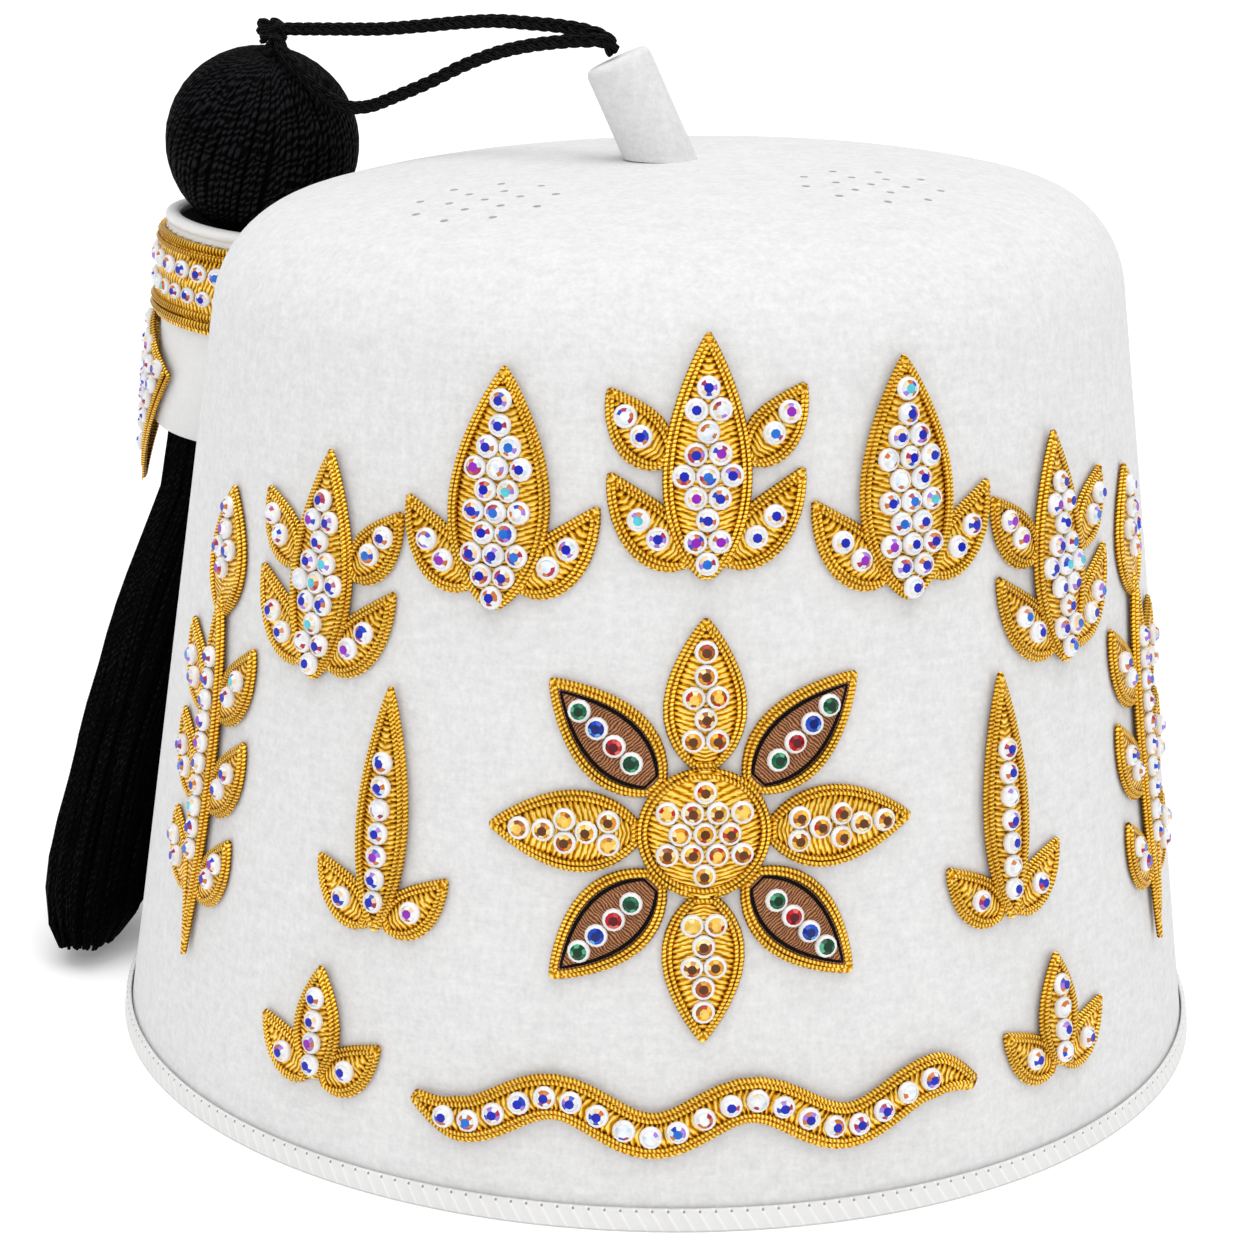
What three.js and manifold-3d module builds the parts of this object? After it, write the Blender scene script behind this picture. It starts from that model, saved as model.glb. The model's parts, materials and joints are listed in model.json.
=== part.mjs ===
// A white felt fez with gold embroidery, cut stones and a black tassel.
// Millimetres, +Z up. The hat stands on its rim and its front looks along -Y.
// The pieces are worked out around the crown's own axis, with the rim at height 0, and the whole
// group is then moved so that the middle of its box is over the origin and its lowest point at 0.

import * as THREE from 'three';
import { mergeVertices } from 'three/addons/utils/BufferGeometryUtils.js';
import Module from 'manifold-3d';

const wasm = await Module();
wasm.setup();

const DEGREE = Math.PI / 180;
const FULL_TURN = 2 * Math.PI;

// Driving sizes of the crown
const RIM_RADIUS = 91.6;
const CORNER_RADIUS = 72.6;
const CORNER_HEIGHT = 136.5;
const SHOULDER_FILLET = 18;
const DOME_RISE = 9.6;
const DOME_POWER = 3.2;
const FELT = 2.5;
const SIDEWAYS_TILT = 0.033;
const FORWARD_TILT = 0.015;
const CROWN_SIDES = 42;
const GAP = 0.3;

// Driving sizes of the rim's leather edging
const BINDING_HEIGHT = 3.4;
const BINDING_WALL = 0.8;

// Driving sizes of the air holes in the top, in two round groups
const VENT_RADIUS = 0.65;
const VENT_RINGS = [
  { count: 1, radius: 0 },
  { count: 6, radius: 5.4 },
  { count: 9, radius: 10.8 },
];
const VENT_GROUPS = [
  { x: -28, y: -33 },
  { x: 31, y: -26 },
];

// Driving sizes of the felt stem that the cord comes out of
const STEM_RADIUS = 5.5;
const STEM_LENGTH = 17.6;
const STEM_LEAN = 25 * DEGREE;
const STEM_ROUNDING = 1.1;
const STEM_FOOT = { x: -1.5, y: -2 };

// Driving sizes of the tassel, which hangs beside the wall and leans as the wall does
const TASSEL_AZIMUTH = 125 * DEGREE;
const TASSEL_LIFT = 18.4;
const CUFF_FOOT_HEIGHT = 86;
const CUFF_LENGTH = 40;
const CUFF_RADIUS = 16;
const CUFF_WALL = 1.8;
const CUFF_LIP = 1.1;
const BALL_RADIUS = 17.6;
const BALL_ABOVE_FOOT = 53.6;
const BALL_RIBS = 16;
const BALL_RIB_DEPTH = 0.35;
const KNOT_RADIUS = 3;
const BAND_TOP = 36.4;
const BAND_BOTTOM = 21.6;
const BAND_THICKNESS = 0.9;
const PIPING_RADIUS = 0.8;

// The skirt's sections: height and bearing on the wall, distance from it, and half sizes
const SKIRT_SECTIONS = [
  { height: 119.4, bearing: 125, lift: 18.4, thick: 13.6, wide: 13.6 },
  { height: 85, bearing: 125, lift: 18.4, thick: 13.6, wide: 13.6 },
  { height: 74, bearing: 123, lift: 17.6, thick: 12.4, wide: 13 },
  { height: 62, bearing: 119, lift: 16.2, thick: 12, wide: 15.6 },
  { height: 45, bearing: 112, lift: 14, thick: 9.6, wide: 14.8 },
  { height: 24, bearing: 103.5, lift: 12.4, thick: 7.8, wide: 16.4 },
  { height: 12, bearing: 98.5, lift: 11.8, thick: 7, wide: 16.4 },
  { height: 5, bearing: 97, lift: 11.4, thick: 5.4, wide: 14 },
];
const LOCKS = 12;
const LOCK_SIDES = 5;
const LOCK_RADIUS = 3.6;
const LOCK_TOP = 84.6;
const LOCK_INSET = 0.8;
const LOCK_SWAY = 0.9;
const LOCK_END = { shortest: 6, longest: 1.8 };

// Driving sizes of the braided cord, two strands from the stem to the tassel's knot
const CORD_DIAMETER = 2.5;
const CORD_SIDES = 8;

// Driving sizes of the raised gold work and its stones
const PLATE_THICKNESS = 1.5;
const PLATE_BEVEL = 0.7;
const LEAF_BLUNTNESS = 0.08;
const LONG_LEAF = 22;
const WIDE_HALF = 6;
const STONE_RADIUS = 1.8;
const STONE_TABLE = 0.95;
const STONE_HEIGHT = 1.5;
const STONE_SINK = 0.3;
const STONE_SIDES = 8;
const DESIGN_CENTRE = -4.5;
const UPPER_LAYER = { back: GAP, face: GAP + PLATE_THICKNESS };
const UNDER_LAYER = { back: GAP + 0.12, face: GAP + PLATE_THICKNESS - 0.25 };

// Colours of the finishes
const WHITE_FELT = { color: 0xf2f1ee, roughness: 0.95, metalness: 0 };
const WHITE_LEATHER = { color: 0xf4f3f0, roughness: 0.55, metalness: 0 };
const BLACK_YARN = { color: 0x0b0b0c, roughness: 0.8, metalness: 0 };
const GOLD = { color: 0xc8900f, roughness: 0.35, metalness: 0.9 };

// The slope of the wall
const FLARE = (RIM_RADIUS - CORNER_RADIUS) / CORNER_HEIGHT;
const WALL_LEAN = Math.atan(FLARE);

// The top is cut a little higher on the right and at the back
function tilt(point) {
  const share = Math.min(Math.max(point.z / CORNER_HEIGHT, 0), 1);
  point.z += share * (SIDEWAYS_TILT * point.x + FORWARD_TILT * point.y);
  return point;
}

// A point off the outside of the wall: bearing from the front towards -X, height and distance
function wallPoint(bearing, height, lift) {
  const radius = RIM_RADIUS - FLARE * height + lift * Math.cos(WALL_LEAN);
  const z = height + lift * Math.sin(WALL_LEAN);
  return tilt(new THREE.Vector3(-radius * Math.sin(bearing), -radius * Math.cos(bearing), z));
}

// Half the crown's outline, from the rim up the wall, round the shoulder and over the dome
function crownOutline(offset, filletSteps, domeSteps) {
  const corner = new THREE.Vector2(CORNER_RADIUS, CORNER_HEIGHT);
  const wallNormal = new THREE.Vector2(Math.cos(WALL_LEAN), Math.sin(WALL_LEAN));
  const domeSlope = 2 * DOME_RISE / CORNER_RADIUS;
  const domeNormal = new THREE.Vector2(domeSlope, 1).normalize();
  const halfAngle = wallNormal.angleTo(domeNormal) / 2;
  const towards = wallNormal.clone().add(domeNormal).normalize();
  const centre = corner.clone().addScaledVector(towards, -SHOULDER_FILLET / Math.cos(halfAngle));
  const first = wallNormal.angle();
  const last = domeNormal.angle();
  const points = [new THREE.Vector2(RIM_RADIUS + offset / Math.cos(WALL_LEAN), 0)];
  for (let i = 0; i <= filletSteps; i += 1) {
    const angle = first + (last - first) * i / filletSteps;
    const reach = SHOULDER_FILLET + offset;
    points.push(new THREE.Vector2(centre.x + reach * Math.cos(angle), centre.y + reach * Math.sin(angle)));
  }
  const edge = points[points.length - 1];
  const scale = domeSlope / (DOME_POWER * edge.x ** (DOME_POWER - 1));
  for (let i = 1; i <= domeSteps; i += 1) {
    const radius = edge.x * (1 - i / domeSteps);
    const rise = scale * (edge.x ** DOME_POWER - radius ** DOME_POWER);
    points.push(new THREE.Vector2(radius, edge.y + rise));
  }
  return points;
}

// A solid of revolution about +Z from a profile that runs up on the outside
function lathe(profile, sides) {
  return new THREE.LatheGeometry(profile, sides).rotateX(Math.PI / 2);
}

// Positions only, with shared vertices merged and collapsed triangles dropped
function welded(geometry, tolerance = 1e-4) {
  const bare = geometry.clone();
  bare.deleteAttribute('normal');
  bare.deleteAttribute('uv');
  const merged = mergeVertices(bare, tolerance);
  const index = merged.getIndex().array;
  const kept = [];
  for (let i = 0; i < index.length; i += 3) {
    const [a, b, c] = [index[i], index[i + 1], index[i + 2]];
    if (a !== b && b !== c && c !== a) {
      kept.push(a, b, c);
    }
  }
  merged.setIndex(kept);
  return merged;
}

function toManifold(geometry, tolerance) {
  const merged = welded(geometry, tolerance);
  return new wasm.Manifold(new wasm.Mesh({
    numProp: 3,
    vertProperties: new Float32Array(merged.getAttribute('position').array),
    triVerts: new Uint32Array(merged.getIndex().array),
  }));
}

function fromManifold(manifold) {
  const mesh = manifold.getMesh();
  const geometry = new THREE.BufferGeometry();
  geometry.setAttribute('position', new THREE.BufferAttribute(mesh.vertProperties, 3));
  geometry.setIndex(new THREE.BufferAttribute(mesh.triVerts, 1));
  return geometry;
}

// Solids joined in one; slivers of air that stay shut in between them are filled
function fused(geometries) {
  const solids = geometries.map((geometry) => toManifold(geometry));
  const joined = fromManifold(solids.reduce((sum, next) => sum.add(next)));
  const shells = toManifold(joined, 2e-3).decompose().sort((a, b) => b.volume() - a.volume());
  return fromManifold(shells[0]);
}

// Each vertex of a geometry moved by a function
function bent(geometry, move) {
  const position = geometry.getAttribute('position');
  const point = new THREE.Vector3();
  for (let i = 0; i < position.count; i += 1) {
    move(point.fromBufferAttribute(position, i));
    position.setXYZ(i, point.x, point.y, point.z);
  }
  return geometry;
}

// A closed skin through rings of points, with flat or pointed ends; rings run anticlockwise
// about the direction of travel
function loft(rings) {
  const count = rings[0].length;
  const vertices = rings.flat().flatMap((p) => [p.x, p.y, p.z]);
  const faces = [];
  for (let r = 0; r + 1 < rings.length; r += 1) {
    for (let i = 0; i < count; i += 1) {
      const j = (i + 1) % count;
      const [a, b] = [r * count + i, r * count + j];
      const [c, d] = [a + count, b + count];
      faces.push(a, b, d, a, d, c);
    }
  }
  const lastRing = (rings.length - 1) * count;
  for (let i = 1; i + 1 < count; i += 1) {
    faces.push(0, i + 1, i);
    faces.push(lastRing, lastRing + i, lastRing + i + 1);
  }
  const geometry = new THREE.BufferGeometry();
  geometry.setAttribute('position', new THREE.Float32BufferAttribute(vertices, 3));
  geometry.setIndex(faces);
  return geometry;
}

function piece(name, geometry, finish) {
  const mesh = new THREE.Mesh(geometry, new THREE.MeshStandardMaterial(finish));
  mesh.name = name;
  return mesh;
}

// The felt crown, hollow, with the air holes cut through its top
function makeCrown() {
  const outer = crownOutline(0, 4, 3);
  const inner = crownOutline(-FELT, 3, 2);
  const seat = BINDING_WALL + GAP;
  outer[0] = new THREE.Vector2(RIM_RADIUS - FLARE * seat, seat);
  inner[0] = new THREE.Vector2(inner[0].x - FLARE * seat, seat);
  const shell = bent(lathe([...inner.reverse(), ...outer], CROWN_SIDES), tilt);
  const vents = [];
  for (const group of VENT_GROUPS) {
    for (const ring of VENT_RINGS) {
      for (let i = 0; i < ring.count; i += 1) {
        const angle = FULL_TURN * i / ring.count;
        const vent = new THREE.CylinderGeometry(VENT_RADIUS, VENT_RADIUS, SHOULDER_FILLET, 6);
        vent.rotateX(Math.PI / 2);
        const x = group.x + ring.radius * Math.cos(angle);
        const y = group.y + ring.radius * Math.sin(angle);
        vents.push(vent.translate(x, y, CORNER_HEIGHT + DOME_RISE / 2));
      }
    }
  }
  const cut = vents.reduce((whole, vent) => whole.subtract(toManifold(vent)), toManifold(shell));
  return piece('crown', fromManifold(cut), WHITE_FELT);
}

// The leather edging: a channel folded round the felt's cut edge
function makeBinding() {
  const outside = (height) => RIM_RADIUS - FLARE * height + GAP;
  const inside = (height) => RIM_RADIUS - FELT / Math.cos(WALL_LEAN) - FLARE * height - GAP;
  const floor = BINDING_WALL;
  const profile = [
    new THREE.Vector2(inside(0) - BINDING_WALL, 0),
    new THREE.Vector2(outside(0) + BINDING_WALL, 0),
    new THREE.Vector2(outside(BINDING_HEIGHT) + BINDING_WALL, BINDING_HEIGHT),
    new THREE.Vector2(outside(BINDING_HEIGHT), BINDING_HEIGHT),
    new THREE.Vector2(outside(floor), floor),
    new THREE.Vector2(inside(floor), floor),
    new THREE.Vector2(inside(BINDING_HEIGHT), BINDING_HEIGHT),
    new THREE.Vector2(inside(BINDING_HEIGHT) - BINDING_WALL, BINDING_HEIGHT),
    new THREE.Vector2(inside(0) - BINDING_WALL, 0),
  ];
  return piece('rim_binding', bent(welded(lathe(profile, CROWN_SIDES)), tilt), WHITE_LEATHER);
}

// The stem: a leaning felt roll whose foot is cut to sit on the dome
function makeStem() {
  const burial = STEM_RADIUS;
  const profile = [
    new THREE.Vector2(0, -burial),
    new THREE.Vector2(STEM_RADIUS, -burial),
    new THREE.Vector2(STEM_RADIUS, STEM_LENGTH - STEM_ROUNDING),
    new THREE.Vector2(STEM_RADIUS - STEM_ROUNDING / 2, STEM_LENGTH - STEM_ROUNDING / 4),
    new THREE.Vector2(STEM_RADIUS - 1.5 * STEM_ROUNDING, STEM_LENGTH),
    new THREE.Vector2(0, STEM_LENGTH),
  ];
  const outline = crownOutline(GAP, 4, 3);
  const top = outline[outline.length - 1].y;
  const roll = lathe(profile, 16).rotateY(-STEM_LEAN).translate(STEM_FOOT.x, STEM_FOOT.y, top);
  const block = bent(lathe([new THREE.Vector2(0, 0), ...outline], CROWN_SIDES), tilt);
  return piece('stem', fromManifold(toManifold(roll).subtract(toManifold(block))), WHITE_FELT);
}

// The group that the tassel's upper pieces stand in: its +Z runs up along the wall and its +X
// points away from it
function makeTasselFrame() {
  const foot = wallPoint(TASSEL_AZIMUTH, CUFF_FOOT_HEIGHT, TASSEL_LIFT);
  const higher = wallPoint(TASSEL_AZIMUTH, CUFF_FOOT_HEIGHT + CUFF_LENGTH, TASSEL_LIFT);
  const up = higher.sub(foot).normalize();
  const along = new THREE.Vector3(-Math.cos(TASSEL_AZIMUTH), Math.sin(TASSEL_AZIMUTH), 0);
  const out = new THREE.Vector3().crossVectors(along.negate(), up).normalize();
  const side = new THREE.Vector3().crossVectors(up, out);
  const frame = new THREE.Group();
  frame.setRotationFromMatrix(new THREE.Matrix4().makeBasis(out, side, up));
  frame.position.copy(foot);
  return frame;
}

// The cuff: a leather sleeve with a rolled lip
function makeCuff() {
  const bore = CUFF_RADIUS - CUFF_WALL;
  const profile = [new THREE.Vector2(bore, 0), new THREE.Vector2(CUFF_RADIUS, 0)];
  profile.push(new THREE.Vector2(CUFF_RADIUS, CUFF_LENGTH - 2 * CUFF_LIP));
  for (let i = 0; i <= 3; i += 1) {
    const angle = -Math.PI / 3 + i * Math.PI / 2.5;
    const radius = CUFF_RADIUS - CUFF_WALL / 2 + 1.25 * CUFF_LIP * Math.cos(angle);
    profile.push(new THREE.Vector2(radius, CUFF_LENGTH - CUFF_LIP + CUFF_LIP * Math.sin(angle)));
  }
  profile.push(new THREE.Vector2(bore, CUFF_LENGTH - 2 * CUFF_LIP), new THREE.Vector2(bore, 0));
  return piece('tassel_cuff', welded(lathe(profile, 20)), WHITE_LEATHER);
}

// The gold band round the cuff, with one piping above and two below
function makeCuffBand() {
  const inner = CUFF_RADIUS + GAP;
  const outer = inner + BAND_THICKNESS;
  const heap = PIPING_RADIUS;
  const crest = (z) => new THREE.Vector2(outer + heap, z);
  const ground = (z) => new THREE.Vector2(outer, z);
  const profile = [
    new THREE.Vector2(inner, BAND_BOTTOM),
    ground(BAND_BOTTOM),
    crest(BAND_BOTTOM + heap),
    ground(BAND_BOTTOM + 2 * heap),
    crest(BAND_BOTTOM + 3 * heap),
    ground(BAND_BOTTOM + 4 * heap),
    ground(BAND_TOP - 2 * heap),
    crest(BAND_TOP - heap),
    ground(BAND_TOP),
    new THREE.Vector2(inner, BAND_TOP),
    new THREE.Vector2(inner, BAND_BOTTOM),
  ];
  return piece('cuff_band', welded(lathe(profile, 20)), GOLD);
}

// The wound ball, with shallow ribs from pole to pole
function makeBall() {
  const rows = 10;
  const profile = [];
  for (let i = 0; i <= rows; i += 1) {
    const angle = -Math.PI / 2 + Math.PI * i / rows;
    profile.push(new THREE.Vector2(Math.max(BALL_RADIUS * Math.cos(angle), 0), BALL_RADIUS * Math.sin(angle)));
  }
  profile[0].x = 0;
  profile[rows].x = 0;
  const ball = bent(lathe(profile, 2 * BALL_RIBS), (point) => {
    const around = Math.round(Math.atan2(point.y, point.x) * BALL_RIBS / Math.PI);
    const groove = Math.abs(around % 2) * BALL_RIB_DEPTH / BALL_RADIUS;
    point.x *= 1 - groove;
    point.y *= 1 - groove;
  });
  const mesh = piece('tassel_ball', welded(ball), BLACK_YARN);
  mesh.position.z = BALL_ABOVE_FOOT;
  return mesh;
}

// The knot on top of the ball, where both strands of the cord end
function makeKnot() {
  const mesh = piece('tassel_knot', new THREE.SphereGeometry(KNOT_RADIUS, 10, 6), BLACK_YARN);
  mesh.scale.set(1.2, 1.2, 0.8);
  mesh.position.z = BALL_ABOVE_FOOT + BALL_RADIUS + GAP + 0.8 * KNOT_RADIUS;
  return mesh;
}

// A ring of points round one of the skirt's sections
function skirtRing(section, count, grow) {
  const bearing = section.bearing * DEGREE;
  const along = new THREE.Vector3(-Math.cos(bearing), Math.sin(bearing), 0);
  const ring = [];
  for (let i = 0; i < count; i += 1) {
    const angle = FULL_TURN * i / count;
    const off = section.lift + (section.thick + grow) * Math.cos(angle);
    const point = wallPoint(bearing, section.height, off);
    ring.push(point.addScaledVector(along, -(section.wide + grow) * Math.sin(angle)));
  }
  return ring;
}

// A section between two rows of the skirt's table
function skirtSection(height) {
  const below = SKIRT_SECTIONS.findIndex((row) => row.height <= height);
  const low = SKIRT_SECTIONS[below === -1 ? SKIRT_SECTIONS.length - 1 : below];
  const high = SKIRT_SECTIONS[Math.max(SKIRT_SECTIONS.indexOf(low) - 1, 0)];
  const share = high === low ? 0 : (height - low.height) / (high.height - low.height);
  const mix = (key) => low[key] + (high[key] - low[key]) * share;
  return { height, bearing: mix('bearing'), lift: mix('lift'), thick: mix('thick'), wide: mix('wide') };
}

// One lock of the skirt: a tapering strand from the cuff to the ragged hem
function makeLock(index) {
  const angle = FULL_TURN * (index + 0.5) / LOCKS;
  const ragged = 0.5 + 0.5 * Math.sin(7.3 * index);
  const end = LOCK_END.longest + (LOCK_END.shortest - LOCK_END.longest) * ragged;
  const stations = [0, 0.2, 0.55, 0.88, 1];
  const swell = [0.5, 0.85, 1.05, 1.15, 0.45];
  const rings = stations.map((share, row) => {
    const section = skirtSection(LOCK_TOP + (end - LOCK_TOP) * share);
    const bearing = section.bearing * DEGREE;
    const along = new THREE.Vector3(-Math.cos(bearing), Math.sin(bearing), 0);
    const out = new THREE.Vector3(-Math.sin(bearing), -Math.cos(bearing), 0);
    const sway = LOCK_SWAY * Math.sin(5 * share + 1.9 * index) * share;
    const off = section.lift + (section.thick - LOCK_INSET) * Math.cos(angle);
    const centre = wallPoint(bearing, section.height, off);
    centre.addScaledVector(along, -(section.wide - LOCK_INSET) * Math.sin(angle) + sway);
    const ring = [];
    for (let i = 0; i < LOCK_SIDES; i += 1) {
      const turn = FULL_TURN * i / LOCK_SIDES + 0.4 * share;
      const point = centre.clone();
      point.addScaledVector(out, LOCK_RADIUS * swell[row] * Math.cos(turn));
      ring.push(point.addScaledVector(along, -LOCK_RADIUS * swell[row] * Math.sin(turn)));
    }
    return ring.reverse();
  });
  return loft(rings);
}

// The skirt: locks fused to a core whose head fills the cuff up to the ball
function makeSkirt() {
  const rings = SKIRT_SECTIONS.map((section) => skirtRing(section, LOCKS, 0).reverse());
  const locks = [];
  for (let index = 0; index < LOCKS; index += 1) {
    locks.push(makeLock(index));
  }
  return piece('tassel_skirt', fused([loft(rings), ...locks]), BLACK_YARN);
}

// A strand of the cord along points chosen by hand
function makeStrand(name, route) {
  const points = route.map((row) => new THREE.Vector3(row.x, row.y, row.z));
  const path = new THREE.CatmullRomCurve3(points, false, 'centripetal');
  const steps = Math.round(path.getLength() / (2.6 * CORD_DIAMETER));
  const section = new THREE.Shape();
  for (let i = 0; i < CORD_SIDES; i += 1) {
    const angle = FULL_TURN * i / CORD_SIDES;
    const [x, y] = [CORD_DIAMETER / 2 * Math.cos(angle), CORD_DIAMETER / 2 * Math.sin(angle)];
    if (i === 0) {
      section.moveTo(x, y);
    } else {
      section.lineTo(x, y);
    }
  }
  section.closePath();
  const tube = new THREE.ExtrudeGeometry(section, { steps, extrudePath: path });
  return piece(name, welded(tube), BLACK_YARN);
}

// Half the width of a leaf at a share of its length
function leafHalfWidth(leaf, share) {
  const belly = Math.sin(Math.PI * Math.min(share, 1) ** 0.78) ** 0.8;
  return leaf.width / 2 * Math.max(belly, LEAF_BLUNTNESS);
}

// A point of a leaf on the flat pattern: u to the right, v up
function leafPoint(leaf, share, side) {
  const along = leaf.length * share;
  const bow = leaf.bend * leaf.length * share * share;
  const slope = 2 * leaf.bend * share;
  const shorten = 1 / Math.hypot(1, slope);
  const forward = along - side * slope * shorten;
  const across = bow + side * shorten;
  const heading = leaf.heading * DEGREE;
  return {
    u: leaf.u + forward * Math.sin(heading) + across * Math.cos(heading),
    v: leaf.v + forward * Math.cos(heading) - across * Math.sin(heading),
  };
}

// A point of the flat pattern laid on the wall
function laid(motif, point, lift) {
  const height = motif.height + point.v * Math.cos(WALL_LEAN);
  const bearing = (DESIGN_CENTRE + motif.bearing) * DEGREE - point.u / (RIM_RADIUS - FLARE * height);
  return wallPoint(bearing, height, lift);
}

// A strip of padded gold work: a low plate with bevelled edges along a run of stations
function makeStrip(motif, layer, stations, pointAt, halfAt) {
  const wide = Math.max(...stations.map(halfAt)) > WIDE_HALF;
  const rings = stations.map((share) => {
    const half = halfAt(share);
    const top = Math.max(half - PLATE_BEVEL, 0.25);
    const ring = [
      laid(motif, pointAt(share, half), layer.back),
      laid(motif, pointAt(share, 0), layer.back),
      laid(motif, pointAt(share, -half), layer.back),
      laid(motif, pointAt(share, -top), layer.face),
    ];
    if (wide) {
      ring.push(laid(motif, pointAt(share, 0), layer.face));
    }
    ring.push(laid(motif, pointAt(share, top), layer.face));
    return ring;
  });
  return loft(rings);
}

function makeLeaf(motif, layer, leaf) {
  const stations = leaf.length > LONG_LEAF ? [0, 0.16, 0.42, 0.72, 1] : [0, 0.22, 0.6, 1];
  return makeStrip(
    motif,
    layer,
    stations,
    (share, side) => leafPoint(leaf, share, side),
    (share) => leafHalfWidth(leaf, share),
  );
}

// A cut stone in its setting, with eight facets and a table, sunk a little into the plate
function makeStone(motif, layer, point, scale) {
  const low = layer.face - STONE_SINK;
  const levels = [
    { lift: low, radius: STONE_RADIUS * scale },
    { lift: low + STONE_HEIGHT, radius: STONE_TABLE * scale },
  ];
  const rings = levels.map((level) => {
    const ring = [];
    for (let i = 0; i < STONE_SIDES; i += 1) {
      const angle = FULL_TURN * (i + 0.5) / STONE_SIDES;
      const [du, dv] = [level.radius * Math.cos(angle), level.radius * Math.sin(angle)];
      ring.push(laid(motif, { u: point.u + du, v: point.v + dv }, level.lift));
    }
    return ring;
  });
  return loft(rings);
}

// The stones that a leaf carries in the solid model, on its midrib
function leafStones(motif, layer, leaf) {
  return (leaf.stones ?? []).map((share) => makeStone(motif, layer, leafPoint(leaf, share, 0), 1));
}

// A motif: its first leaf lies on top and the others are tucked a little under it
function makeMotif(name, motif, leaves) {
  const solids = leaves.flatMap((leaf, index) => {
    const layer = index === 0 ? UPPER_LAYER : UNDER_LAYER;
    return [makeLeaf(motif, layer, leaf), ...leafStones(motif, layer, leaf)];
  });
  return piece(name, fused(solids), GOLD);
}

// A leaf and its mirror image
function pair(leaf) {
  return [leaf, { ...leaf, u: -leaf.u, heading: -leaf.heading, bend: -leaf.bend }];
}

// The leaves of each kind of motif, in the flat pattern
const PALMETTE = [
  { u: 0, v: -17, heading: 0, length: 35, width: 12.6, bend: 0, stones: [0.3, 0.46] },
  ...pair({ u: 2, v: -14.5, heading: 62, length: 16.5, width: 8.4, bend: -0.36 }),
  ...pair({ u: 5.2, v: -0.5, heading: 50, length: 13.5, width: 8, bend: -0.2 }),
];
const BUD = [
  { u: 0, v: -17, heading: 0, length: 35, width: 15.4, bend: 0, stones: [0.3, 0.46] },
  ...pair({ u: 3, v: -13.6, heading: 66, length: 15.5, width: 8.4, bend: -0.42 }),
];
const SPRAY = [
  { u: 0, v: 24, heading: 180, length: 62, width: 7.6, bend: 0, stones: [0.3, 0.6] },
  { u: 0, v: 20, heading: 0, length: 21, width: 12, bend: 0, stones: [0.5] },
  ...pair({ u: 2.6, v: 4, heading: 44, length: 15.5, width: 8.6, bend: -0.2 }),
  ...pair({ u: 2.6, v: -11, heading: 44, length: 15.5, width: 8.6, bend: -0.2 }),
  ...pair({ u: 2.2, v: -26, heading: 44, length: 14, width: 8, bend: -0.2 }),
];
const LANCET = [
  { u: 0, v: -16, heading: 0, length: 38, width: 9, bend: 0, stones: [0.45] },
  ...pair({ u: 1, v: -15, heading: 66, length: 13, width: 7.6, bend: -0.3 }),
];
const SPRIG = [
  { u: 0, v: -7, heading: 0, length: 18, width: 9, bend: 0, stones: [0.5] },
  ...pair({ u: 1, v: -7, heading: 70, length: 12.5, width: 7.6, bend: -0.3 }),
];

// Where each motif stands: bearing from the middle of the design, and height of its centre
const MOTIFS = [
  { name: 'arch_motif_1', bearing: 43.5, height: 92.5, leaves: PALMETTE },
  { name: 'arch_motif_2', bearing: 22, height: 107, leaves: BUD },
  { name: 'arch_motif_3', bearing: 0, height: 112, leaves: PALMETTE },
  { name: 'arch_motif_4', bearing: -22, height: 107, leaves: BUD },
  { name: 'arch_motif_5', bearing: -43.5, height: 92.5, leaves: PALMETTE },
  { name: 'spray_left', bearing: 61.5, height: 60, leaves: SPRAY },
  { name: 'spray_right', bearing: -61.5, height: 60, leaves: SPRAY },
  { name: 'lancet_left', bearing: 33, height: 56, leaves: LANCET },
  { name: 'lancet_right', bearing: -33, height: 56, leaves: LANCET },
  { name: 'sprig_left', bearing: 39, height: 22, leaves: SPRIG },
  { name: 'sprig_right', bearing: -39, height: 22, leaves: SPRIG },
];

// The medallion: a rosette of eight petals round a boss
const MEDALLION = { bearing: 0, height: 59 };
const MEDALLION_PETALS = 8;
const PETAL = { hub: 8.7, length: 22.4, width: 12, stones: [0.45] };
const BOSS_RADIUS = 9.6;

function makeMedallion() {
  const solids = [];
  for (let i = 0; i < MEDALLION_PETALS; i += 1) {
    const heading = 360 * i / MEDALLION_PETALS;
    const leaf = {
      u: PETAL.hub * Math.sin(heading * DEGREE),
      v: PETAL.hub * Math.cos(heading * DEGREE),
      heading,
      length: PETAL.length,
      width: PETAL.width,
      bend: 0,
      stones: PETAL.stones,
    };
    solids.push(makeLeaf(MEDALLION, UNDER_LAYER, leaf), ...leafStones(MEDALLION, UNDER_LAYER, leaf));
  }
  const boss = { u: 0, v: -BOSS_RADIUS, heading: 0, length: 2 * BOSS_RADIUS, bend: 0 };
  const circle = (share) => Math.max(BOSS_RADIUS * Math.sqrt(1 - (2 * share - 1) ** 2), 1);
  const stations = [0, 0.06, 0.22, 0.5, 0.78, 0.94, 1];
  const place = (share, side) => leafPoint(boss, share, side);
  solids.push(makeStrip(MEDALLION, UPPER_LAYER, stations, place, circle));
  solids.push(makeStone(MEDALLION, UPPER_LAYER, { u: 0, v: 0 }, 1.5));
  return piece('medallion', fused(solids), GOLD);
}

// The garland: a waved strip below the medallion
const GARLAND = { bearing: 0, height: 17 };
const GARLAND_HALF_LENGTH = 43;
const GARLAND_WIDTH = 6.8;
const GARLAND_WAVE = 2.6;
const GARLAND_WAVES = 3;

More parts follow.
